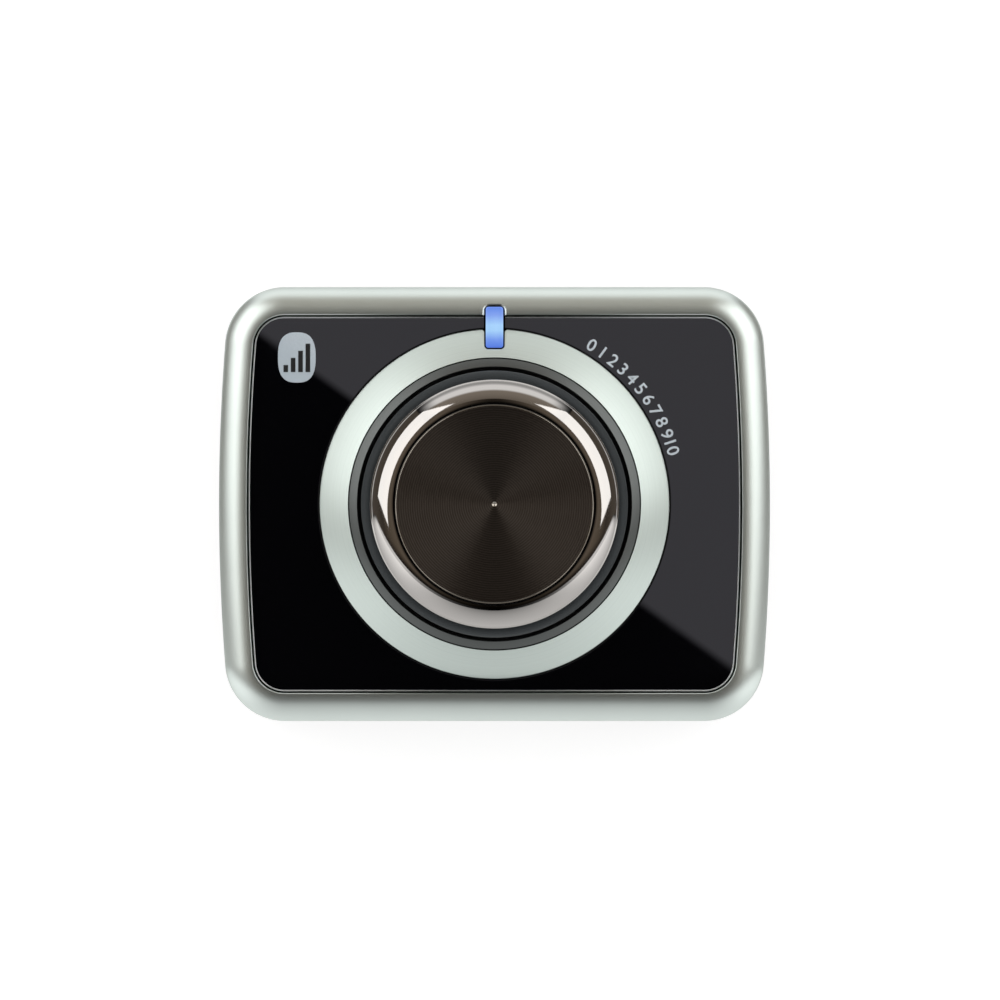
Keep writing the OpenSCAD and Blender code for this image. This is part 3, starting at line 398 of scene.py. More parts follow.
door_turn, door_angles = 45, (90, 210, 330)


def wedge(name, r0, r1, middle, angle, low, high):
    """Piece of an upright ring about the cell's axis: arcs of radius r0 and r1, angle wide, low to high."""
    a = np.radians(middle + angle * np.linspace(-0.5, 0.5, 13))
    x = cell_x + np.concatenate([r1 * np.cos(a), r0 * np.cos(a[::-1])])
    y = np.concatenate([r1 * np.sin(a), r0 * np.sin(a[::-1])])
    loop = np.stack([x, y], 1)
    return skin(name, stacked([(loop, low), (loop, high)]))


notches = [wedge(f"notch_{a}", door_hole_r - notch_lap, notch_r, a - door_turn, notch_angle, case_z - past,
                 ledge_z + notch_rise) for a in door_angles]
foot_x, foot_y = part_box("rubber_feet")[1].x / MM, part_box("rubber_feet")[1].y / MM
foot_r, foot_sink, foot_gap = 3.5, 0.8, 0.1
feet = quarters * (foot_x - foot_r, foot_y - foot_r)
recess_profile = [[(foot_r + foot_gap, case_z - past), (foot_r + foot_gap, case_z + foot_sink)]]
recesses = skin("recesses", turn(recess_profile, 96), places=feet)
shape(rear_cover, "DIFFERENCE", wells, opening, recesses, *notches)
dress(rear_cover, [black_abs], "housing", "black_abs", "rear_cover")

# Feet: four discs of soft black rubber, moulded with a rounded rim. They are glued into the recesses of
# the rear cover.
foot_rim, foot_top = 0.4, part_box("rubber_feet")[1].z / MM
foot_profile = [[(0, 0)], bend((foot_r - foot_rim, foot_rim), (foot_rim, foot_rim), -90, 0, 8),
                [(foot_r, foot_top), (0, foot_top)]]
rubber_feet = skin("soft_feet", turn(foot_profile, 96), places=feet)

# Silicone rubber: a dull bluish black that scatters light in a soft halo. Its grain is drawn at 0.2 mm.
rubber, tree, place = fresh_material("black_rubber_moulded")
grain = add(tree, "TexNoise", {"Vector": (place, "Object"), "Scale": 1 / (0.2 * MM), "Detail": 3.0})
sheen = add(tree, "MapRange", {0: (grain, 0), 3: 0.55, 4: 0.75})
relief = add(tree, "Bump", {"Strength": 0.2, "Distance": 0.03 * MM, "Height": (grain, 0)})
surface = add(tree, "BsdfPrincipled", {"Base Color": linear("#252b2e"), "Roughness": (sheen, 0), "IOR": 1.45,
                                       "Sheen Weight": 0.05, "Normal": (relief, 0)})
add(tree, "OutputMaterial", {"Surface": (surface, 0)})
dress(rubber_feet, [rubber], "housing", "rubber", "rubber_feet")

# Coin cell and its two contacts: a plated steel can, and springy strips stamped from contact alloy. They
# stay as the CAD has them, since the door hides them.


def cover(finish, *names):
    """Gives CAD nodes that stay as they are one material."""
    for name in names:
        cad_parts[name].data.materials.clear()
        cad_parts[name].data.materials.append(finish)


# Plated steel: bright, with a fine rolled grain drawn at 0.3 mm and stretched along X.
steel, tree, place = fresh_material("steel_rolled_and_plated")
rolled = add(tree, "Mapping", {"Vector": (place, "Object"), "Scale": (0.1, 1, 1)})
grain = add(tree, "TexNoise", {"Vector": (rolled, 0), "Scale": 1 / (0.3 * MM), "Detail": 2.0})
sheen = add(tree, "MapRange", {0: (grain, 0), 3: 0.2, 4: 0.38})
tint = add(tree, "Mix", {0: (grain, 0), 6: linear("#b9b9b6"), 7: linear("#cbcbc8")}, data_type="RGBA")
surface = add(tree, "BsdfPrincipled", {"Base Color": (tint, 2), "Metallic": 1.0, "Roughness": (sheen, 0)})
add(tree, "OutputMaterial", {"Surface": (surface, 0)})
cover(steel, "coin_cell")

# Contact alloy: pale gold from its plating, with a soft blotch where it was stamped.
alloy, tree, place = fresh_material("contact_alloy_stamped")
blotch = add(tree, "TexNoise", {"Vector": (place, "Object"), "Scale": 1 / (2 * MM), "Detail": 3.0})
tint = add(tree, "Mix", {0: (blotch, 0), 6: linear("#c4b283"), 7: linear("#ddd0a6")}, data_type="RGBA")
sheen = add(tree, "MapRange", {0: (blotch, 0), 3: 0.22, 4: 0.36})
surface = add(tree, "BsdfPrincipled", {"Base Color": (tint, 2), "Metallic": 1.0, "Roughness": (sheen, 0)})
add(tree, "OutputMaterial", {"Surface": (surface, 0)})
cover(alloy, "contact_negative", "contact_positive")

# Battery door: a round lid moulded in the cover's ABS, with a coin slot and three lugs that catch behind
# the ledge of the bay when it is turned.
door_lo, door_hi = np.array(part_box("battery_door")) / MM
door_r, door_edge, lug_r, lug_angle, lug_lap, lug_gap = 11.2, 0.25, 12.3, 30, 0.4, 0.15
rim_in_r, rim_out_r, lid_z = 10.1, 10.9, floor_z
coin_w, coin_l, coin_d, coin_past = 1.8, 14, 0.7, 0.2
door_profile = [[(0, door_lo[2])],
                bend((door_r - door_edge, door_lo[2] + door_edge), (door_edge, door_edge), -90, 0, 6),
                [(door_r, lid_z), (rim_out_r, lid_z), (rim_out_r, door_hi[2]), (rim_in_r, door_hi[2]),
                 (rim_in_r, lid_z), (0, lid_z)]]
door = skin("twist_door", turn(door_profile, 192, (cell_x, 0)))


def rounded(width, length, radius, steps=10):
    """Rounded rectangle about the origin: its four corner arcs about their centres, anticlockwise."""
    a = np.radians(np.linspace(0, 90, steps + 1) + 90 * np.arange(4)[:, None])
    x = (width / 2 - radius) * np.array([1, -1, -1, 1])[:, None] + radius * np.cos(a)
    y = (length / 2 - radius) * np.array([1, 1, -1, -1])[:, None] + radius * np.sin(a)
    return np.stack([x.ravel(), y.ravel()], 1)


coin = rounded(coin_w, coin_l, coin_w / 2 - hair) + (cell_x, 0)
coin_slot = skin("coin_slot", stacked([(coin, door_lo[2] - coin_past), (coin, door_lo[2] + coin_d)]))
lugs = [wedge(f"lug_{a}", door_r - lug_lap, lug_r, a, lug_angle, ledge_z + lug_gap, lid_z)
        for a in door_angles]
shape(door, "UNION", *lugs)
shape(door, "DIFFERENCE", coin_slot)
dress(door, [black_abs], "door", "black_abs", "battery_door")

# Boards, resin pieces and tapes inside case and knob: glass laminate under solder mask, with a chip, a steel
# shield can and the indicator's lamp soldered on; the encoder's mouldings; adhesive films. They stay as the
# CAD has them. All but the can are a plain colour with a faint mottle.
for name, size, low, high, rough, nodes in (
        ("green_solder_mask_on_laminate", 0.5, "#0d3a22", "#145232", 0.35, ["main_board"]),
        ("blue_solder_mask_on_laminate", 0.5, "#10255a", "#18347a", 0.35, ["radio_board"]),
        ("dark_resin_moulded", 0.4, "#1d1e20", "#26272a", 0.5, ["controller_chip", "encoder_base"]),
        ("ivory_resin_moulded", 0.4, "#cfc5a8", "#ddd5bd", 0.45, ["encoder_rotor"]),
        ("clear_lamp_resin", 0.4, "#d8dde6", "#eef1f6", 0.2, ["indicator_led"]),
        ("adhesive_film", 0.4, "#cfcbc0", "#dedbd2", 0.7, ["panel_tape", "cap_tape"])):
    plain, tree, place = fresh_material(name)
    mottle = add(tree, "TexNoise", {"Vector": (place, "Object"), "Scale": 1 / (size * MM), "Detail": 2.0})
    tint = add(tree, "Mix", {0: (mottle, 0), 6: linear(low), 7: linear(high)}, data_type="RGBA")
    surface = add(tree, "BsdfPrincipled", {"Base Color": (tint, 2), "Roughness": rough, "IOR": 1.5})
    add(tree, "OutputMaterial", {"Surface": (surface, 0)})
    cover(plain, *nodes)
cover(steel, "radio_shield")

# Encoder, springs and board screws: stamped and turned steel, with terminals of contact alloy. A nut holds
# the encoder in the chassis, and a clip holds the knob on its shaft. They stay as the CAD has them.
cover(steel, "encoder_frame", "encoder_shaft", "encoder_bush", "encoder_washer", "encoder_nut",
      "board_screws", "detent_spring", "shaft_clip")
cover(alloy, "encoder_terminals")

# Snap dome: a disc of spring steel pressed to a shallow dome. It lies under the shaft's end, gives way with
# a click when the knob is pushed in, and lifts the knob again.
dome_lo, dome_hi = np.array(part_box("push_dome")) / MM
dome_t, press_depth = 0.15, 0.5
dome_r, dome_h = dome_hi[0], dome_hi[2] - dome_lo[2]
ball_r = (dome_r ** 2 + dome_h ** 2) / (2 * dome_h)
ball_z, ball_in_r = dome_hi[2] - ball_r, ball_r - dome_t
rim_out, rim_in = (np.degrees(np.arcsin((dome_lo[2] - ball_z) / r)) for r in (ball_r, ball_in_r))
dome_profile = [bend((0, ball_z), (ball_in_r, ball_in_r), 90, rim_in, 16),
                bend((0, ball_z), (ball_r, ball_r), rim_out, 90, 16)]
snap_dome = skin("snap_dome", turn(dome_profile, 96))
dress(snap_dome, [steel], "housing", "steel", "push_dome")
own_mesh(snap_dome)

# Chassis and knob body: black ABS mouldings. The chassis carries face, encoder and board; the knob's body
# sits on the shaft inside grip, crown and cap. They stay as the CAD has them.
cover(black_abs, "front_chassis", "knob_core")

# Bezel: a frame moulded in ABS and sprayed with satin silver paint. Its arched top is steep at its side and
# highest inside, and it snaps over the chassis with four lugs, which can't be seen.
band, lean, bezel_wall, crown_edge_r, side_edge_r = 3.45, 0.15, 1.6, 0.15, 0.15
bezel_edge, side_step, side_turn = 0.05, 0.05, 140
bezel_tilt_out, bezel_tilt_in = 42, 4.4
crown_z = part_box("bezel")[1].z / MM
deck_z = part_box("trim_ring")[0].z / MM
# The top is one arc, whose tilt goes from bezel_tilt_out at the side to bezel_tilt_in at the inner edge.
crown_in = band - crown_edge_r
sine_out, sine_in = np.sin(np.radians([bezel_tilt_out, bezel_tilt_in]))
arch_r = (crown_in - lean) / (sine_out - sine_in)
arch = (crown_in + arch_r * sine_in, crown_z - arch_r * np.cos(np.radians(bezel_tilt_in)))
arched = bend(arch, (arch_r, arch_r), 90 + bezel_tilt_out, 90 + bezel_tilt_in, 40)
inner_side = bend((crown_in, crown_z - crown_edge_r), (crown_edge_r, crown_edge_r), 90 - bezel_tilt_in, 0, 8)
side_line = bend((lean - side_step + side_edge_r, arched[0, 1] - side_edge_r), (side_edge_r, side_edge_r),
                 180, side_turn, 5)
bezel_top = np.concatenate([arched[1:], inner_side])
under_side = [(band, deck_z), (bezel_wall, deck_z), (bezel_wall, joint_z)]
bezel_foot = [(bezel_edge, joint_z), (0, joint_z + bezel_edge)]
bezel = skin("bezel_frame", carry([bezel_foot, side_line, bezel_top, under_side]), wrap=True)

# The indicator's room in bezel, panel and ring is one rounded slot with a broken upper edge. The lens is a
# little narrower than its node, and shorter at its upper end.
lens_trim, lens_end_trim = 0.05, 0.3
lens_lo, lens_hi = np.array(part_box("indicator_lens")) / MM
lens_lo, lens_hi = lens_lo + (lens_trim, 0, 0), lens_hi - (lens_trim, lens_end_trim, 0)
lens_y, lens_w, lens_l = (lens_lo[1] + lens_hi[1]) / 2, lens_hi[0] - lens_lo[0], lens_hi[1] - lens_lo[1]
lens_corner_r, lens_gap = 0.5, 0.18
slot_under, slot_over, break_fall, bezel_break = 2, 3, 0.42, 0.2


def pocket(wider):
    """The slot's outline, wider by that much on each side than the lens and its gap."""
    more = 2 * (lens_gap + wider)
    return rounded(lens_w + more, lens_l + more, lens_corner_r + lens_gap + wider) + (0, lens_y)


def slot_tool(name, top, broken, room=pocket):
    """Cutter for the slot: upright sides, then an edge of width broken that follows the height top(x, y)."""
    inner, outer = room(0), room(broken)
    return skin(name, stacked([(inner, deck_z - slot_under), (inner, top(*inner.T) - break_fall * broken),
                               (outer, top(*outer.T) + hair), (outer, crown_z + slot_over)]))


def bezel_height(x, y):
    """Height of the bezel's top over a point of the straight upper end, from its profile."""
    return np.interp(half_l - y, bezel_top[:, 0], bezel_top[:, 1])


shape(bezel, "DIFFERENCE", slot_tool("bezel_slot", bezel_height, bezel_break), sharp=20)

# Satin paint: fine aluminium flake in a clear binder. It mirrors in broad soft bands, with a faint
# greenish grey tint. The flake is finer than a pixel, so it is drawn at 0.12 mm.
silver, tree, place = fresh_material("satin_silver_paint")
flake = add(tree, "TexNoise", {"Vector": (place, "Object"), "Scale": 1 / (0.12 * MM), "Detail": 2.0})
mist = add(tree, "TexNoise", {"Vector": (place, "Object"), "Scale": 1 / (6 * MM), "Detail": 2.0})
tint = add(tree, "Mix", {0: (mist, 0), 6: linear("#c8d0cc"), 7: linear("#ced6d2")}, data_type="RGBA")
sheen = add(tree, "MapRange", {0: (flake, 0), 3: 0.28, 4: 0.35})
relief = add(tree, "Bump", {"Strength": 0.08, "Distance": 0.01 * MM, "Height": (flake, 0)})
surface = add(tree, "BsdfPrincipled", {"Base Color": (tint, 2), "Metallic": 1.0,
                                       "Roughness": (sheen, 0), "Normal": (relief, 0)})
add(tree, "OutputMaterial", {"Surface": (surface, 0)})
dress(bezel, [silver], "housing", "silver_paint", "bezel")

# Front panel: a sheet of black acrylic, gloss on both sides, with a fine bead along its rim. It is glued to
# the chassis inside the bezel and has one round hole and the indicator's slot.
panel_gap, panel_edge, panel_bead, panel_break, well_gap = 0.18, 0.16, 0.09, 0.05, 0.05
panel_in, bead_clear, well_clear = band + panel_gap, 0.27, 0.192
panel_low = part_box("front_panel")[0].z / MM
ring_out_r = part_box("trim_ring")[1].x / MM
well_r = ring_out_r + well_gap


def well(radius):
    """Circle round the knob's axis, with its points on the same rays as those of the case outline."""
    x, y = outline(panel_in).T
    return radius * np.stack([x, y], 1) / np.hypot(x, y)[:, None]


edge_out = bend((panel_in + panel_bead, face_z), (panel_bead, panel_bead), 180, 0, 12)
edge_in = bend((well_r + panel_edge, face_z - panel_edge), (panel_edge, panel_edge), 90, 180, 6)
loops = [(outline(panel_in), panel_low), *((outline(d), z) for d, z in edge_out)]
loops += [(outline(panel_in + bead_clear), face_z), (well(well_r + well_clear), face_z)]
loops += [*((well(r), z) for r, z in edge_in), (well(well_r), panel_low)]
panel = skin("gloss_panel", stacked(loops), wrap=True)
shape(panel, "DIFFERENCE", slot_tool("panel_slot", lambda x, y: face_z, panel_break), sharp=20)


def second_finish(piece, chosen):
    """Gives the piece's second material to the faces whose middles, as x, y and z in mm, are chosen."""
    middles = np.empty(3 * len(piece.data.polygons))
    piece.data.polygons.foreach_get("center", middles)
    picked = chosen(*middles.reshape(-1, 3).T / MM)
    piece.data.polygons.foreach_set("material_index", picked.astype(np.int32))


# Cast acrylic: deep black under a clear mirror-like face, with the slightest haze from wiping.
gloss_black, tree, place = fresh_material("black_acrylic_polished")
haze = add(tree, "TexNoise", {"Vector": (place, "Object"), "Scale": 1 / (8 * MM), "Detail": 4.0})
sheen = add(tree, "MapRange", {0: (haze, 0), 1: 0.35, 2: 0.75, 3: 0.0, 4: 0.012})
surface = add(tree, "BsdfPrincipled", {"Base Color": linear("#050507"), "Roughness": (sheen, 0),
                                       "IOR": 1.49})
add(tree, "OutputMaterial", {"Surface": (surface, 0)})

# The bead along the sheet's rim has a pale metal finish, a painted highlight that stands for the bright edge
# line of the acrylic's rim: it shows as a hairline that mirrors the lamps opposite.
bead_highlight_finish, tree, place = fresh_material("panel_bead_painted_highlight")
marks = add(tree, "TexNoise", {"Vector": (place, "Object"), "Scale": 1 / (0.4 * MM), "Detail": 2.0})
sheen = add(tree, "MapRange", {0: (marks, 0), 3: 0.3, 4: 0.4})
surface = add(tree, "BsdfPrincipled", {"Base Color": linear("#dfe1e3"), "Metallic": 1.0,
                                       "Roughness": (sheen, 0)})
add(tree, "OutputMaterial", {"Surface": (surface, 0)})
dress(panel, [gloss_black, bead_highlight_finish], "housing", "gloss_black", "front_panel")
# Painted highlight: the faces of the rim's bead get the pale metal.
second_finish(panel, lambda x, y, z: z > face_z + 0.1 * hair)

# Printed marks: a pale badge with four rising bars, and plain numbers along an arc by the ring. They are
# screen printed on the panel's face.
print_t = 0.015
badge_x, badge_y, badge_w, badge_l, badge_power = -23.6, 17.5, 4.5, 6.0, 2.7
# The badge is a superellipse: cosine and sine, each to the power 2 / badge_power with its sign kept.
a = np.linspace(0, 2 * np.pi, 96, endpoint=False)
badge_edge = np.stack([np.sign(f) * np.abs(f) ** (2 / badge_power) for f in (np.cos(a), np.sin(a))], 1)
badge_edge = badge_edge * (badge_w / 2, badge_l / 2) + (badge_x, badge_y)
badge = skin("printed_badge", stacked([(badge_edge, face_z), (badge_edge, face_z + print_t)]))

bar_count, bar_w, bar_pitch, bar_step, bar_low = 4, 0.55, 0.88, 0.85, -1.75
bar_shape = np.array([(-bar_w / 2, 0), (bar_w / 2, 0), (bar_w / 2, 1), (-bar_w / 2, 1)])
bars = []
for n in range(bar_count):
    foot = (badge_x + (n - (bar_count - 1) / 2) * bar_pitch, badge_y + bar_low)
    loop = bar_shape * (1, bar_step * (n + 1)) + foot
    bars.append(skin(f"bar_{n}", stacked([(loop, face_z + print_t), (loop, face_z + 2 * print_t)])))

number_count, number_h, number_r, number_start, number_end = 11, 1.5, 21.5, 31.5, 72.0
figure_share, figure_t, figure_bold = 0.7, 0.01, 0.012
numbers = []
for n, clock in enumerate(np.radians(np.linspace(number_start, number_end, number_count))):
    letters = bpy.data.curves.new(f"number_{n}", "FONT")
    letters.body, letters.align_x = str(n), "CENTER"
    letters.extrude, letters.offset = figure_t, figure_bold
    written = put(f"number_{n}", letters)
    mesh = bpy.data.meshes.new_from_object(written.evaluated_get(bpy.context.evaluated_depsgraph_get()))
    bpy.data.objects.remove(written)
    flat = np.empty(3 * len(mesh.vertices))
    mesh.vertices.foreach_get("co", flat)
    x, y, z = flat.reshape(-1, 3).T
    right, up = x * number_h / figure_share, number_r + (y - y.min()) * number_h / np.ptp(y)
    spots = np.stack([right * np.cos(clock) + up * np.sin(clock), up * np.cos(clock) - right * np.sin(clock),
                      face_z + print_t * (z > 0)], 1)
    mesh.vertices.foreach_set("co", (spots * MM).ravel())
    numbers.append(put(f"printed_number_{n}", mesh))

# Screen ink: a flat pale blue grey with the faint speckle of the mesh, drawn at 0.15 mm; the badge's ink is
# painted lighter towards its upper right, a painted reflection of the pale card's glare. The bars are the
# same black as the panel, printed over the badge.
pale_ink, tree, place = fresh_material("pale_screen_ink")
speckle = add(tree, "TexNoise", {"Vector": (place, "Object"), "Scale": 1 / (0.15 * MM), "Detail": 2.0})
# Painted reflection: the ink lightens along the pale card's slant, towards the upper right, with the speckle
# mixed in.
painted_glare = add(tree, "VectorMath", {0: (place, "Object"), 1: (60, 90, 0)}, operation="DOT_PRODUCT")
painted_glare = add(tree, "Math", {0: (painted_glare, "Value"), 1: (speckle, 0), 2: -0.15}, operation="MULTIPLY_ADD")
light = add(tree, "MapRange", {0: (painted_glare, 0), 1: -0.1, 2: 0.3})
tint = add(tree, "Mix", {0: (light, 0), 6: linear("#b4c0c9"), 7: linear("#ccd6de")}, data_type="RGBA")
surface = add(tree, "BsdfPrincipled", {"Base Color": (tint, 2), "Roughness": 0.5, "IOR": 1.5})
add(tree, "OutputMaterial", {"Surface": (surface, 0)})
black_ink, tree, place = fresh_material("black_screen_ink")
speckle = add(tree, "TexNoise", {"Vector": (place, "Object"), "Scale": 1 / (0.15 * MM), "Detail": 2.0})
sheen = add(tree, "MapRange", {0: (speckle, 0), 3: 0.4, 4: 0.6})
surface = add(tree, "BsdfPrincipled", {"Base Color": linear("#08080a"), "Roughness": (sheen, 0), "IOR": 1.5})
add(tree, "OutputMaterial", {"Surface": (surface, 0)})
for mark in [badge, *bars, *numbers]:
    mark.data.materials.clear()
    mark.data.materials.append(black_ink if mark in bars else pale_ink)
    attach(mark, "housing")

# Trim ring: turned from aluminium, satin anodised, with both edges broken. It is notched for the indicator
# and pressed into the panel's hole.
ring_w, ring_fall, ring_edge, edge_fall, ring_lip = 3.39, 1.51, 0.2, 0.14, 0.04
ring_break, mouth_r = 0.14, 0.35
ring_in_r = ring_out_r - ring_w
ring_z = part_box("trim_ring")[1].z / MM
ring_low = ring_z - ring_fall
outer_cut = [(ring_out_r, deck_z), (ring_out_r, ring_low - edge_fall), (ring_out_r - ring_edge, ring_low)]
inner_cut = [(ring_in_r + ring_lip, ring_z), (ring_in_r, ring_z - ring_lip), (ring_in_r, deck_z)]
ring_profile = [outer_cut, inner_cut]
ring = skin("satin_ring", turn(ring_profile, 512), wrap=True, sharp=15)


def ring_height(x, y):
    """Height of the ring's top, which falls evenly from its inner to its outer edge."""
    return ring_z - ring_fall * (np.hypot(x, y) - ring_in_r) / (ring_out_r - ring_in_r)


def mouth(wider):
    """The slot's outline in the ring: two rounded lower corners, upright sides, and corners that round off
    outwards where the sides meet the ring's outer edge."""
    a = np.radians(np.linspace(0, 90, 11))
    half, low = lens_w / 2 + lens_gap + wider, lens_y - lens_l / 2 - lens_gap - wider
    corner = lens_corner_r + wider
    flare, top = mouth_r - wider, np.sqrt(ring_out_r ** 2 - half ** 2)
    x = np.concatenate([half - corner + corner * np.sin(a), half + flare - flare * np.cos(a)])
    y = np.concatenate([low + corner - corner * np.cos(a), top - flare + flare * np.sin(a)])
    x, y = np.append(x, half + flare), np.append(y, top + past)
    return np.stack([np.append(x, -x[::-1]), np.append(y, y[::-1])], 1)


shape(ring, "DIFFERENCE", slot_tool("ring_slot", ring_height, ring_break, mouth), sharp=15)

# Turned and anodised aluminium: its marks run round the ring, so light spreads across them and shows as
# soft fans. The turning marks are 0.05 mm apart; they are drawn at 0.14 mm so that they show.
satin, tree, place = fresh_material("turned_aluminium_satin_anodised")
middle = add(tree, "VectorMath", {0: (place, "Object"), 1: (1, 1, 0)}, operation="MULTIPLY")
radius = add(tree, "VectorMath", {0: (middle, 0)}, operation="LENGTH")
marks = add(tree, "TexNoise", {"W": (radius, "Value"), "Scale": 1 / (0.14 * MM), "Detail": 1.0},
            noise_dimensions="1D")
tint = add(tree, "Mix", {0: (marks, 0), 6: linear("#c1cbc6"), 7: linear("#cbd5d0")}, data_type="RGBA")
sheen = add(tree, "MapRange", {0: (marks, 0), 3: 0.37, 4: 0.43})
spread = add(tree, "Tangent", direction_type="UV_MAP", uv_map="turned")
surface = add(tree, "BsdfPrincipled", {"Base Color": (tint, 2), "Metallic": 1.0, "Roughness": (sheen, 0),
                                       "Anisotropic": 0.1, "Tangent": (spread, 0)})
add(tree, "OutputMaterial", {"Surface": (surface, 0)})
dress(ring, [satin], "housing", "satin_aluminium", "trim_ring")

# Well collar: a gunmetal ring between trim ring and knob, turned from aluminium and dark anodised. Its
# top falls outwards, and it is pressed in beside the ring with a narrow groove between them.
collar_in_r, collar_out_r = 16.33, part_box("well_collar")[1].x / MM
collar_rim_r, collar_fall, collar_edge, collar_turn = 0.08, 0.45, 0.08, 65
collar_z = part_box("well_collar")[1].z / MM
collar_profile = [[(collar_out_r, deck_z)],
                  bend((collar_out_r - collar_rim_r, collar_z - collar_fall - collar_rim_r),
                       (collar_rim_r, collar_rim_r), 0, collar_turn, 8),
                  bend((collar_in_r + collar_edge, collar_z - collar_edge), (collar_edge, collar_edge),
                       collar_turn, 180, 8),
                  [(collar_in_r, deck_z)]]
collar = skin("gunmetal_collar", turn(collar_profile, 512), wrap=True, sharp=50)

# Dark anodised aluminium: a smoky grey metal, less satin than the ring. Its uneven sheen is drawn at 0.2 mm.
gunmetal, tree, place = fresh_material("turned_aluminium_gunmetal")
marks = add(tree, "TexNoise", {"Vector": (place, "Object"), "Scale": 1 / (0.2 * MM), "Detail": 2.0})
sheen = add(tree, "MapRange", {0: (marks, 0), 3: 0.3, 4: 0.42})
surface = add(tree, "BsdfPrincipled", {"Base Color": linear("#5e6160"), "Metallic": 1.0,
                                       "Roughness": (sheen, 0)})
add(tree, "OutputMaterial", {"Surface": (surface, 0)})
dress(collar, [gunmetal], "housing", "dark_anodised", "well_collar")

# Indicator lens: a light guide moulded in clear blue acrylic. Its rounded head bridges bezel and ring and
# its stem goes down to the lamp, which lights its middle more than its ends.
lens_round, stem_side, stem_end, head_corner_r = 0.2, 0.35, 1.2, 0.32
crest_corner_r, crest_falls = 0.06, ((0.6, 0.006), (1.0, 0))
lens_drop, glow_from, glow_full, glow_level = 0.02, 0.3, 0.12, 0.95
stem_z, lens_top = lens_lo[2], lens_hi[2]
rim = bend((lens_round, lens_top - lens_drop - lens_round), (lens_round, lens_round), 180, 90, 6)
stem = rounded(lens_w - 2 * stem_side, lens_l - 2 * stem_end, lens_corner_r - lens_gap)
loops = [(stem, stem_z), (stem, deck_z)]
loops += [(rounded(lens_w - 2 * d, lens_l - 2 * d, head_corner_r - d), z) for d, z in [(0, deck_z), *rim]]
loops += [(rounded(lens_w - 2 * d, lens_l - 2 * d, crest_corner_r), lens_top - fall)
          for d, fall in crest_falls]
lens = skin("light_guide", stacked([(loop + (0, lens_y), z) for loop, z in loops]))

# Lit acrylic: a clear light blue over the lamp and deep blue towards the ends, with a gloss face.
lit_blue, tree, place = fresh_material("blue_acrylic_lit")
spot = add(tree, "SeparateXYZ", {0: (place, "Object")})
rise = add(tree, "MapRange", {0: (spot, "Y"), 1: (lens_y - lens_l / 2) * MM,
                              2: (lens_y + lens_l / 2) * MM})
ramp = add(tree, "ValToRGB", {0: (rise, 0)})
ramp.color_ramp.elements[0].color = linear("#587cdf")
ramp.color_ramp.elements[1].color = linear("#668ce8")
for at, colour in ((0.2, "#779cec"), (0.42, "#a8d4fb"), (0.55, "#abd6fd"), (0.8, "#84a4ee")):
    ramp.color_ramp.elements.new(at).color = linear(colour)
head = add(tree, "MapRange", {0: (spot, "Z"), 1: (lens_top - glow_from) * MM,
                              2: (lens_top - glow_full) * MM, 4: glow_level})
surface = add(tree, "BsdfPrincipled", {"Base Color": linear("#0a1a44"), "Roughness": 0.12, "IOR": 1.49,
                                       "Emission Color": (ramp, 0), "Emission Strength": (head, 0)})
add(tree, "OutputMaterial", {"Surface": (surface, 0)})
dress(lens, [lit_blue], "housing", "blue_lens", "indicator_lens")

# Knob grip: a sleeve moulded in soft black rubber, stretched over the knob's body. Its upper shoulder is
# rounded and shows round the foot of the crown.
grip_lo, grip_hi = np.array(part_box("knob_grip")) / MM
knob_r, grip_t, shoulder, foot_round, lip_round = grip_hi[0], 1.5, 0.9, 0.2, 0.25
grip_in_r = knob_r - grip_t
grip_profile = [bend((knob_r - foot_round, grip_lo[2] + foot_round), (foot_round, foot_round), -90, 0, 4),
                bend((knob_r - shoulder, grip_hi[2] - shoulder), (shoulder, shoulder), 0, 90, 12),
                bend((grip_in_r + lip_round, grip_hi[2] - lip_round), (lip_round, lip_round), 90, 180, 5),
                [(grip_in_r, grip_lo[2])]]
grip = skin("rubber_sleeve", turn(grip_profile, 384), wrap=True)
dress(grip, [rubber], "knob", "rubber", "knob_grip")

# Knob crown: a ring moulded in ABS and plated in dark chrome, with an arched top that steepens outwards to
# a narrow rolled rim. It is pressed over the neck of the knob's body.
crown_lo, crown_hi = np.array(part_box("knob_crown")) / MM
crown_r, crown_top, cap_r = crown_hi[0], crown_hi[2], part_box("knob_cap")[1].x / MM
cap_gap, crown_wall, crown_rim_r, crown_foot, hole_edge, hole_drop = 0.25, 1.1, 0.13, 0.15, 0.03, 0.05
tilt_in, tilt_out, rim_end, hole_turn = 7, 48, 40, 120
crown_in_r, cap_hole_r = crown_r - crown_wall, cap_r + cap_gap
# The top is one arc, whose tilt goes from tilt_in at the cap to tilt_out at the rim.
slope_in, slope_out = np.radians([tilt_in, tilt_out])
vault_r = (crown_r - crown_rim_r - cap_hole_r) / (np.sin(slope_out) - np.sin(slope_in))
vault = (cap_hole_r - vault_r * np.sin(slope_in), crown_top - vault_r * np.cos(slope_in))
rim_z = vault[1] + vault_r * np.cos(slope_out) - crown_rim_r
core_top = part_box("knob_core")[1].z / MM
crown_profile = [[(crown_r - crown_foot, crown_lo[2]), (crown_r, crown_lo[2] + crown_foot)],
                 bend((crown_r - crown_rim_r, rim_z), (crown_rim_r, crown_rim_r), 0, rim_end, 6),
                 bend(vault, (vault_r, vault_r), 90 - tilt_out, 90 - tilt_in, 48),
                 bend((cap_hole_r + hole_edge, crown_top - hole_drop), (hole_edge, hole_edge),
                      hole_turn, 180, 3),
                 [(cap_hole_r, core_top), (crown_in_r, core_top), (crown_in_r, crown_lo[2])]]
crown = skin("chrome_crown", turn(crown_profile, 384), wrap=True, sharp=50)

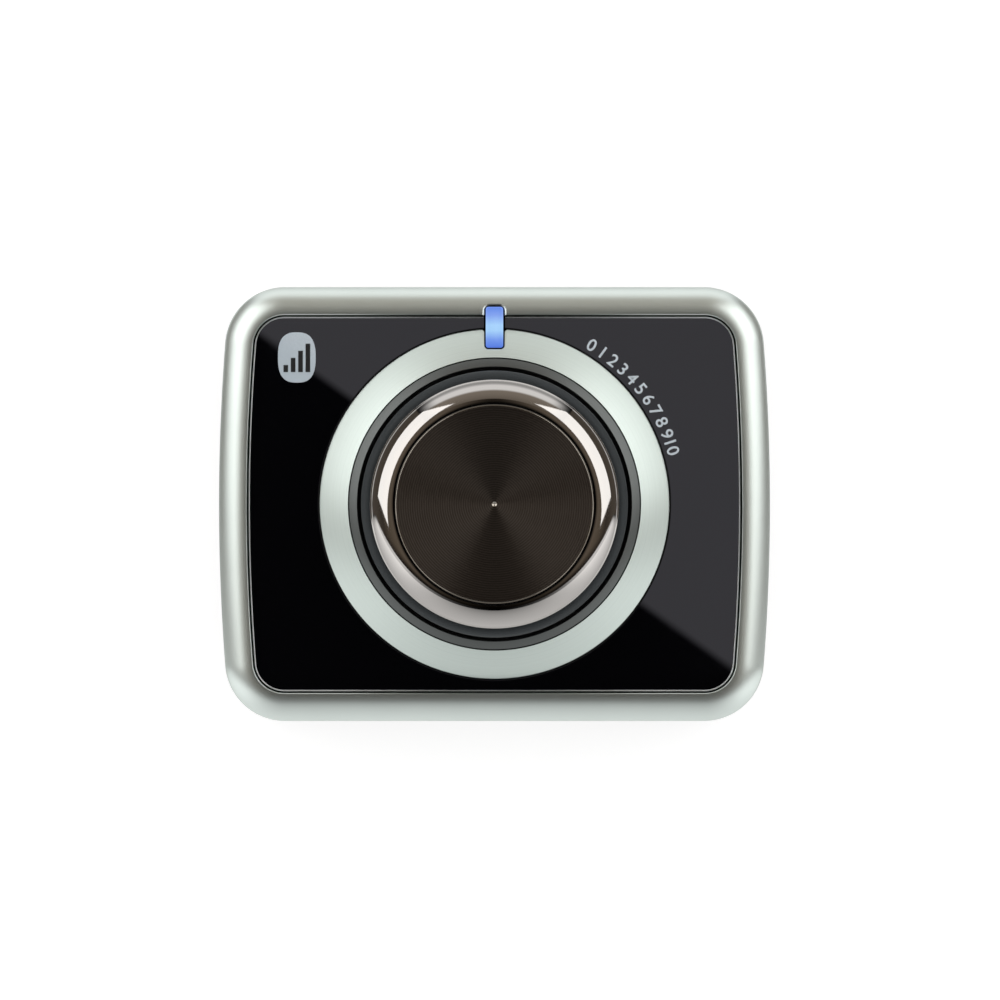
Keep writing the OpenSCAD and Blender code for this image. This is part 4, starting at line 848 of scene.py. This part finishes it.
# Dark chrome plate: a warm smoky mirror, clear enough to show the lamps' edges, with faint long waves
# from the moulding under it.
chrome, tree, place = fresh_material("dark_chrome_plated")
wave = add(tree, "TexNoise", {"Vector": (place, "Object"), "Scale": 1 / (5 * MM), "Detail": 1.0})
relief = add(tree, "Bump", {"Strength": 0.04, "Distance": 0.05 * MM, "Height": (wave, 0)})
sheen = add(tree, "MapRange", {0: (wave, 0), 3: 0.04, 4: 0.08})
surface = add(tree, "BsdfPrincipled", {"Base Color": linear("#a9a6a3"), "Metallic": 1.0,
                                       "Roughness": (sheen, 0), "Normal": (relief, 0)})
add(tree, "OutputMaterial", {"Surface": (surface, 0)})
dress(crown, [chrome], "knob", "dark_chrome", "knob_crown")

# Knob cap: a disc turned from aluminium and anodised black. The tool leaves fine rings and a centre
# dimple; the disc is hollowed as a shallow cone and is glued to the knob's body inside the crown.
cap_lo, cap_hi = np.array(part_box("knob_cap")) / MM
brim_r, brim_tilt, brim_rise, brim_step = 0.3, 50, 0.42, 0.02
cap_dish, dimple_r, dimple_tilt = 0.9, 0.34, 19
groove_pitch, groove_depth, groove_points = 0.275, 0.006, 6
cap_top, brim_in = cap_hi[2], cap_r - brim_r * np.sin(np.radians(brim_tilt))
# The face is a shallow cone with cosine rings, and its dimple a short cone of its own.
face_r = np.arange(brim_in - brim_step, dimple_r, -groove_pitch / groove_points)
grooves = np.cos(2 * np.pi * face_r / groove_pitch) - 1
hollow = cap_dish * (1 - face_r / cap_r)
face_line = np.stack([face_r, cap_top + brim_rise - hollow + groove_depth * grooves / 2], 1)
dimple_line = dimple_r * np.linspace(1, 0, 6)
sunk = (dimple_r - dimple_line) * np.tan(np.radians(dimple_tilt))
dimple = np.stack([dimple_line, face_line[-1, 1] - sunk], 1)
cap_profile = [[(0, cap_lo[2]), (cap_r, cap_lo[2])],
               bend((brim_in, cap_top + brim_rise - brim_r), (brim_r, brim_r), 90 - brim_tilt, 90, 8),
               face_line, dimple]
cap = skin("spun_cap", turn(cap_profile, 256))

# Black anodised aluminium, spun: each ring spreads light across itself, so two soft fans stand in the disc.
spun, tree, place = fresh_material("black_anodised_spun")
middle = add(tree, "VectorMath", {0: (place, "Object"), 1: (1, 1, 0)}, operation="MULTIPLY")
radius = add(tree, "VectorMath", {0: (middle, 0)}, operation="LENGTH")
phase = add(tree, "Math", {0: (radius, "Value"), 1: 2 * np.pi / (groove_pitch * MM)},
            operation="MULTIPLY")
marks = add(tree, "Math", {0: (phase, 0)}, operation="COSINE")
marks = add(tree, "MapRange", {0: (marks, 0), 1: -1.0, 2: 1.0})
tint = add(tree, "Mix", {0: (marks, 0), 6: linear("#403a34"), 7: linear("#504943")}, data_type="RGBA")
spread = add(tree, "Tangent", direction_type="UV_MAP", uv_map="turned")
surface = add(tree, "BsdfPrincipled", {"Base Color": (tint, 2), "Metallic": 1.0, "Roughness": 0.32,
                                       "Anisotropic": 0.95, "Tangent": (spread, 0)})
add(tree, "OutputMaterial", {"Surface": (surface, 0)})

# Rim and dimple are cut bright after anodising: a pale hairline round the disc and a glint in its middle.
bright_rim, tree, place = fresh_material("aluminium_rim_diamond_cut")
marks = add(tree, "TexNoise", {"Vector": (place, "Object"), "Scale": 1 / (0.3 * MM), "Detail": 2.0})
sheen = add(tree, "MapRange", {0: (marks, 0), 3: 0.06, 4: 0.12})
surface = add(tree, "BsdfPrincipled", {"Base Color": linear("#948f87"), "Metallic": 1.0,
                                       "Roughness": (sheen, 0)})
add(tree, "OutputMaterial", {"Surface": (surface, 0)})
dress(cap, [spun, bright_rim], "knob", "spun_black", "knob_cap")
second_finish(cap, lambda x, y, z: (np.hypot(x, y) < dimple_r) & (z > cap_lo[2] + hair)
              | (np.hypot(x, y) > brim_in) & (z > cap_top))

# Case screws: four pan heads with a cross recess, turned from steel and plated. They come up through the
# wells in the rear cover and bite into the chassis.
screw_lo, screw_hi = np.array(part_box("case_screws")) / MM
head_r, shank_r, head_edge = 1.8, 1.0, 0.35
recess_d, recess_past, cross_wide, cross_deep = 0.8, 0.1, 0.4, 0.24
head_z = screw_lo[2]
screw_profile = [[(0, head_z)],
                 bend((head_r - head_edge, head_z + head_edge), (head_edge, head_edge), -90, 0, 6),
                 [(head_r, head_seat_z), (shank_r, head_seat_z), (shank_r, screw_hi[2]), (0, screw_hi[2])]]
screws = skin("pan_head_screws", turn(screw_profile, 64), places=corners)
cross = np.array([(3, 1), (1, 1), (1, 3), (-1, 3), (-1, 1), (-3, 1), (-3, -1), (-1, -1), (-1, -3), (1, -3),
                  (1, -1), (3, -1)])
recess = stacked([(cross * cross_wide, head_z - recess_past), (cross * cross_deep, head_z + recess_d)])
shape(screws, "DIFFERENCE", skin("cross_recess", recess, places=corners))
dress(screws, [steel], "housing", "steel", "case_screws")
